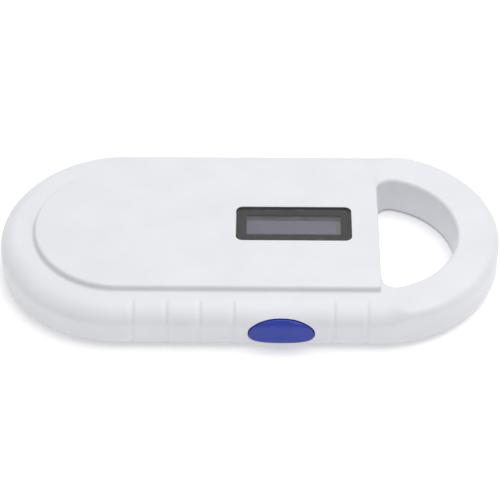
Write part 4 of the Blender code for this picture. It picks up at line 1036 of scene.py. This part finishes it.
def wound_wire(name):
    """Enamelled copper turns, which run round the coil."""
    made, tree, shader = start_material(name)
    shader.inputs["Metallic"].default_value = 0.85
    coords = coordinates(tree)
    split = add_node(tree, "ShaderNodeSeparateXYZ")
    tree.links.new(coords, split.inputs["Vector"])
    turns = add_node(tree, "ShaderNodeMath", operation="MULTIPLY")
    wire_pitch = 0.32 * MM
    turns.inputs[1].default_value = 2 * math.pi / wire_pitch
    tree.links.new(split.outputs["Z"], turns.inputs[0])
    ridge = add_node(tree, "ShaderNodeMath", operation="SINE")
    tree.links.new(turns.outputs[0], ridge.inputs[0])
    height = mapped(tree, ridge.outputs[0], -1, 1, 0, 1)
    varied = noise(tree, 4 * MM, 4, coords=coords)
    tree.links.new(blended(tree, varied, (0.52, 0.17, 0.05), (0.7, 0.28, 0.1)), shader.inputs["Base Color"])
    tree.links.new(mapped(tree, varied, 0.2, 0.8, 0.22, 0.42), shader.inputs["Roughness"])
    tree.links.new(bumped(tree, height, 0.06 * MM), shader.inputs["Normal"])
    return made


def pouch_foil(name):
    """Aluminium laminate with soft wrinkles, and painted shade in their hollows."""
    made, tree, shader = start_material(name)
    shader.inputs["Metallic"].default_value = 0.8
    coords = coordinates(tree)
    creases = noise(tree, 7 * MM, 5, 0.55, coords)
    # painted shade: the colour follows the wrinkles' height, darker in their hollows
    tree.links.new(blended(tree, creases, (0.5, 0.52, 0.54), (0.7, 0.71, 0.73)), shader.inputs["Base Color"])
    gloss = mapped(tree, noise(tree, 2 * MM, 3, coords=coords), 0.3, 0.7, 0.25, 0.42)
    tree.links.new(gloss, shader.inputs["Roughness"])
    tree.links.new(bumped(tree, creases, 0.25 * MM), shader.inputs["Normal"])
    return made


def foam(name, colour):
    """Closed-cell foam: small round cells."""
    made, tree, shader = start_material(name)
    coords = coordinates(tree)
    cells = add_node(tree, "ShaderNodeTexVoronoi", Scale=1 / (0.4 * MM))
    tree.links.new(coords, cells.inputs["Vector"])
    shade = tuple(channel * 0.5 for channel in colour)
    tree.links.new(blended(tree, cells.outputs["Distance"], shade, colour), shader.inputs["Base Color"])
    tree.links.new(mapped(tree, cells.outputs["Distance"], 0, 1, 0.85, 1), shader.inputs["Roughness"])
    tree.links.new(bumped(tree, cells.outputs["Distance"], 0.12 * MM), shader.inputs["Normal"])
    return made


def make_looks():
    """One material for each slot of the record, with a few more for details."""
    return {
        "shell": moulded("shell_plastic", (0.715, 0.722, 0.757), 0.46),
        "rear_shell": moulded("rear_shell_plastic", (0.70, 0.708, 0.742), 0.48),
        "button": moulded(
            "button_plastic", (0.010, 0.033, 0.335), 0.38, patch=5 * MM, grain=0.25 * MM, shift=0.1
        ),
        "lens": clear_acrylic("lens_acrylic"),
        "mask": moulded(
            "printed_border", (0.004, 0.004, 0.0045), 0.6, patch=4 * MM, grain=0.12 * MM, relief=0.003 * MM,
            shine=0.15
        ),
        "display_glass": moulded("display_glass", (0.08, 0.08, 0.086), 0.16, relief=0.0005 * MM),
        "film": display_film("display_film"),
        # painted shade: the near-black of the strip beyond the display film, for the reflection of the
        # recess's far wall
        "shade_band": moulded("display_painted_shade", (0.022, 0.022, 0.025), 0.3, patch=4 * MM, relief=0.0005 * MM),
        "foam": foam("grey_foam", (0.05, 0.05, 0.055)),
        "flex": moulded("flex_film", (0.42, 0.17, 0.02), 0.3, patch=4 * MM, relief=0.003 * MM),
        "board": circuit_board("board_laminate"),
        "chip": moulded(
            "chip_resin", (0.018, 0.018, 0.019), 0.58, patch=3 * MM, grain=0.08 * MM, shift=0.15
        ),
        "can": metal("crystal_can", (0.62, 0.61, 0.58), 0.26),
        "ferrite": moulded("ferrite", (0.06, 0.06, 0.065), 0.7, patch=2 * MM, grain=0.1 * MM, shift=0.2),
        "film_capacitor": moulded("film_capacitor_case", (0.45, 0.05, 0.03), 0.35, patch=3 * MM, shift=0.15),
        "tantalum": moulded("tantalum_case", (0.68, 0.42, 0.07), 0.42, patch=3 * MM, shift=0.1),
        "winding": wound_wire("enamelled_winding"),
        "enamel": metal("enamelled_copper", (0.6, 0.2, 0.07), 0.3),
        "pouch": pouch_foil("pouch_foil"),
        "red_wire": moulded("red_insulation", (0.42, 0.012, 0.01), 0.45, patch=4 * MM, shift=0.1),
        "black_wire": moulded("black_insulation", (0.012, 0.012, 0.012), 0.45, patch=4 * MM, shift=0.15),
        "nylon": moulded("natural_nylon", (0.74, 0.71, 0.6), 0.45, patch=4 * MM),
        "plated_steel": metal("plated_steel", (0.66, 0.66, 0.68), 0.28),
        "socket_resin": moulded("socket_resin", (0.012, 0.012, 0.013), 0.5, patch=3 * MM, shift=0.15),
        "gold": metal("gold_contact", (0.85, 0.58, 0.2), 0.25),
        "buzzer_case": moulded("buzzer_case", (0.014, 0.014, 0.015), 0.5, patch=3 * MM, shift=0.15),
        "screw_steel": metal("black_screw_steel", (0.09, 0.09, 0.1), 0.38),
        "label": moulded(
            "label_film", (0.66, 0.67, 0.69), 0.36, patch=8 * MM, grain=0.15 * MM, relief=0.002 * MM
        ),
    }


SLOT_LOOKS = {"film": "film_capacitor"}  # the slots whose look has another name


def dress_cad_nodes(looks):
    """Gives every CAD node its slot's material. The nodes that aren't replaced show it."""
    for row in frame["record"]["subparts"]:
        node = frame["nodes"][row["node"]]
        look = looks[SLOT_LOOKS.get(row["material_slot"], row["material_slot"])]
        node.data.materials.clear()
        node.data.materials.append(look)


# ---------------------------------------------------------------- studio

CAMERA_AIM = Vector((0.1 * MM, 5.7 * MM, 0))
CAMERA_AZIMUTH = math.radians(0.6)
CAMERA_ELEVATION = math.radians(42.55)
CAMERA_ROLL = math.radians(-0.05)
CAMERA_DISTANCE = 686 * MM
CAMERA_LENS = 153.0
SENSOR = 36.0
WORLD_LIGHT = 0.6
KEY_PLACE = (0.25, 0.24, 1.1)
KEY_SIZE = (1.2, 1.0)
KEY_POWER = 9.5
FLOOR_REACH = 3.0
FLOOR_TOP = -0.02 * MM
FLOOR_GLOW = 0.2  # the floor is a light table


def make_camera():
    data = bpy.data.cameras.new("camera")
    data.sensor_width = SENSOR
    data.lens = CAMERA_LENS
    data.clip_start = 0.01
    data.clip_end = 20
    camera = bpy.data.objects.new("camera", data)
    bpy.context.scene.collection.objects.link(camera)
    back = Vector(
        (
            math.sin(CAMERA_AZIMUTH) * math.cos(CAMERA_ELEVATION),
            -math.cos(CAMERA_AZIMUTH) * math.cos(CAMERA_ELEVATION),
            math.sin(CAMERA_ELEVATION),
        )
    )
    camera.location = CAMERA_AIM + back * CAMERA_DISTANCE
    turn = (-back).to_track_quat("-Z", "Y").to_matrix().to_4x4()
    roll = Quaternion((0, 0, 1), CAMERA_ROLL)
    camera.rotation_mode = "QUATERNION"
    camera.rotation_quaternion = turn.to_quaternion() @ roll
    bpy.context.scene.camera = camera


def make_floor():
    corners = [(x * FLOOR_REACH, y * FLOOR_REACH, FLOOR_TOP) for x, y in ((-1, -1), (1, -1), (1, 1), (-1, 1))]
    floor = mesh_object("studio_floor", corners, [(0, 1, 2, 3)])
    made, _, shader = start_material("floor_paint")
    shader.inputs["Roughness"].default_value = 0.9
    shader.inputs["Specular IOR Level"].default_value = 0.1
    shader.inputs["Base Color"].default_value = (0.96, 0.96, 0.96, 1)
    shader.inputs["Emission Color"].default_value = (1, 1, 1, 1)
    shader.inputs["Emission Strength"].default_value = FLOOR_GLOW
    floor.data.materials.append(made)


def add_area_light(name, place_at, aim, size, power):
    data = bpy.data.lights.new(name, "AREA")
    data.shape = "RECTANGLE"
    data.size, data.size_y = size
    data.energy = power
    light = bpy.data.objects.new(name, data)
    light.location = place_at
    light.rotation_mode = "QUATERNION"
    light.rotation_quaternion = (Vector(aim) - Vector(place_at)).to_track_quat("-Z", "Y")
    bpy.context.scene.collection.objects.link(light)


def make_studio():
    world = bpy.data.worlds.new("studio")
    bpy.context.scene.world = world
    world.use_nodes = True
    background = world.node_tree.nodes["Background"]
    background.inputs["Color"].default_value = (1, 1, 1, 1)
    background.inputs["Strength"].default_value = WORLD_LIGHT
    add_area_light("key", KEY_PLACE, (0, 0, 0), KEY_SIZE, KEY_POWER)
    bpy.context.scene.view_settings.view_transform = "Standard"
    bpy.context.scene.cycles.use_denoising = True


looks = make_looks()
make_camera()
make_floor()
make_studio()
dress_cad_nodes(looks)
make_front_cover(looks["shell"])
make_rear_cover(looks["rear_shell"])
make_button(looks["button"])
make_lens(looks["lens"], looks["mask"])
make_border(looks["mask"])
make_display(looks["display_glass"], looks["film"], looks["shade_band"])
make_socket(looks["plated_steel"], looks["socket_resin"], looks["gold"])
make_cover_screws(looks["screw_steel"])
make_label(looks["label"])
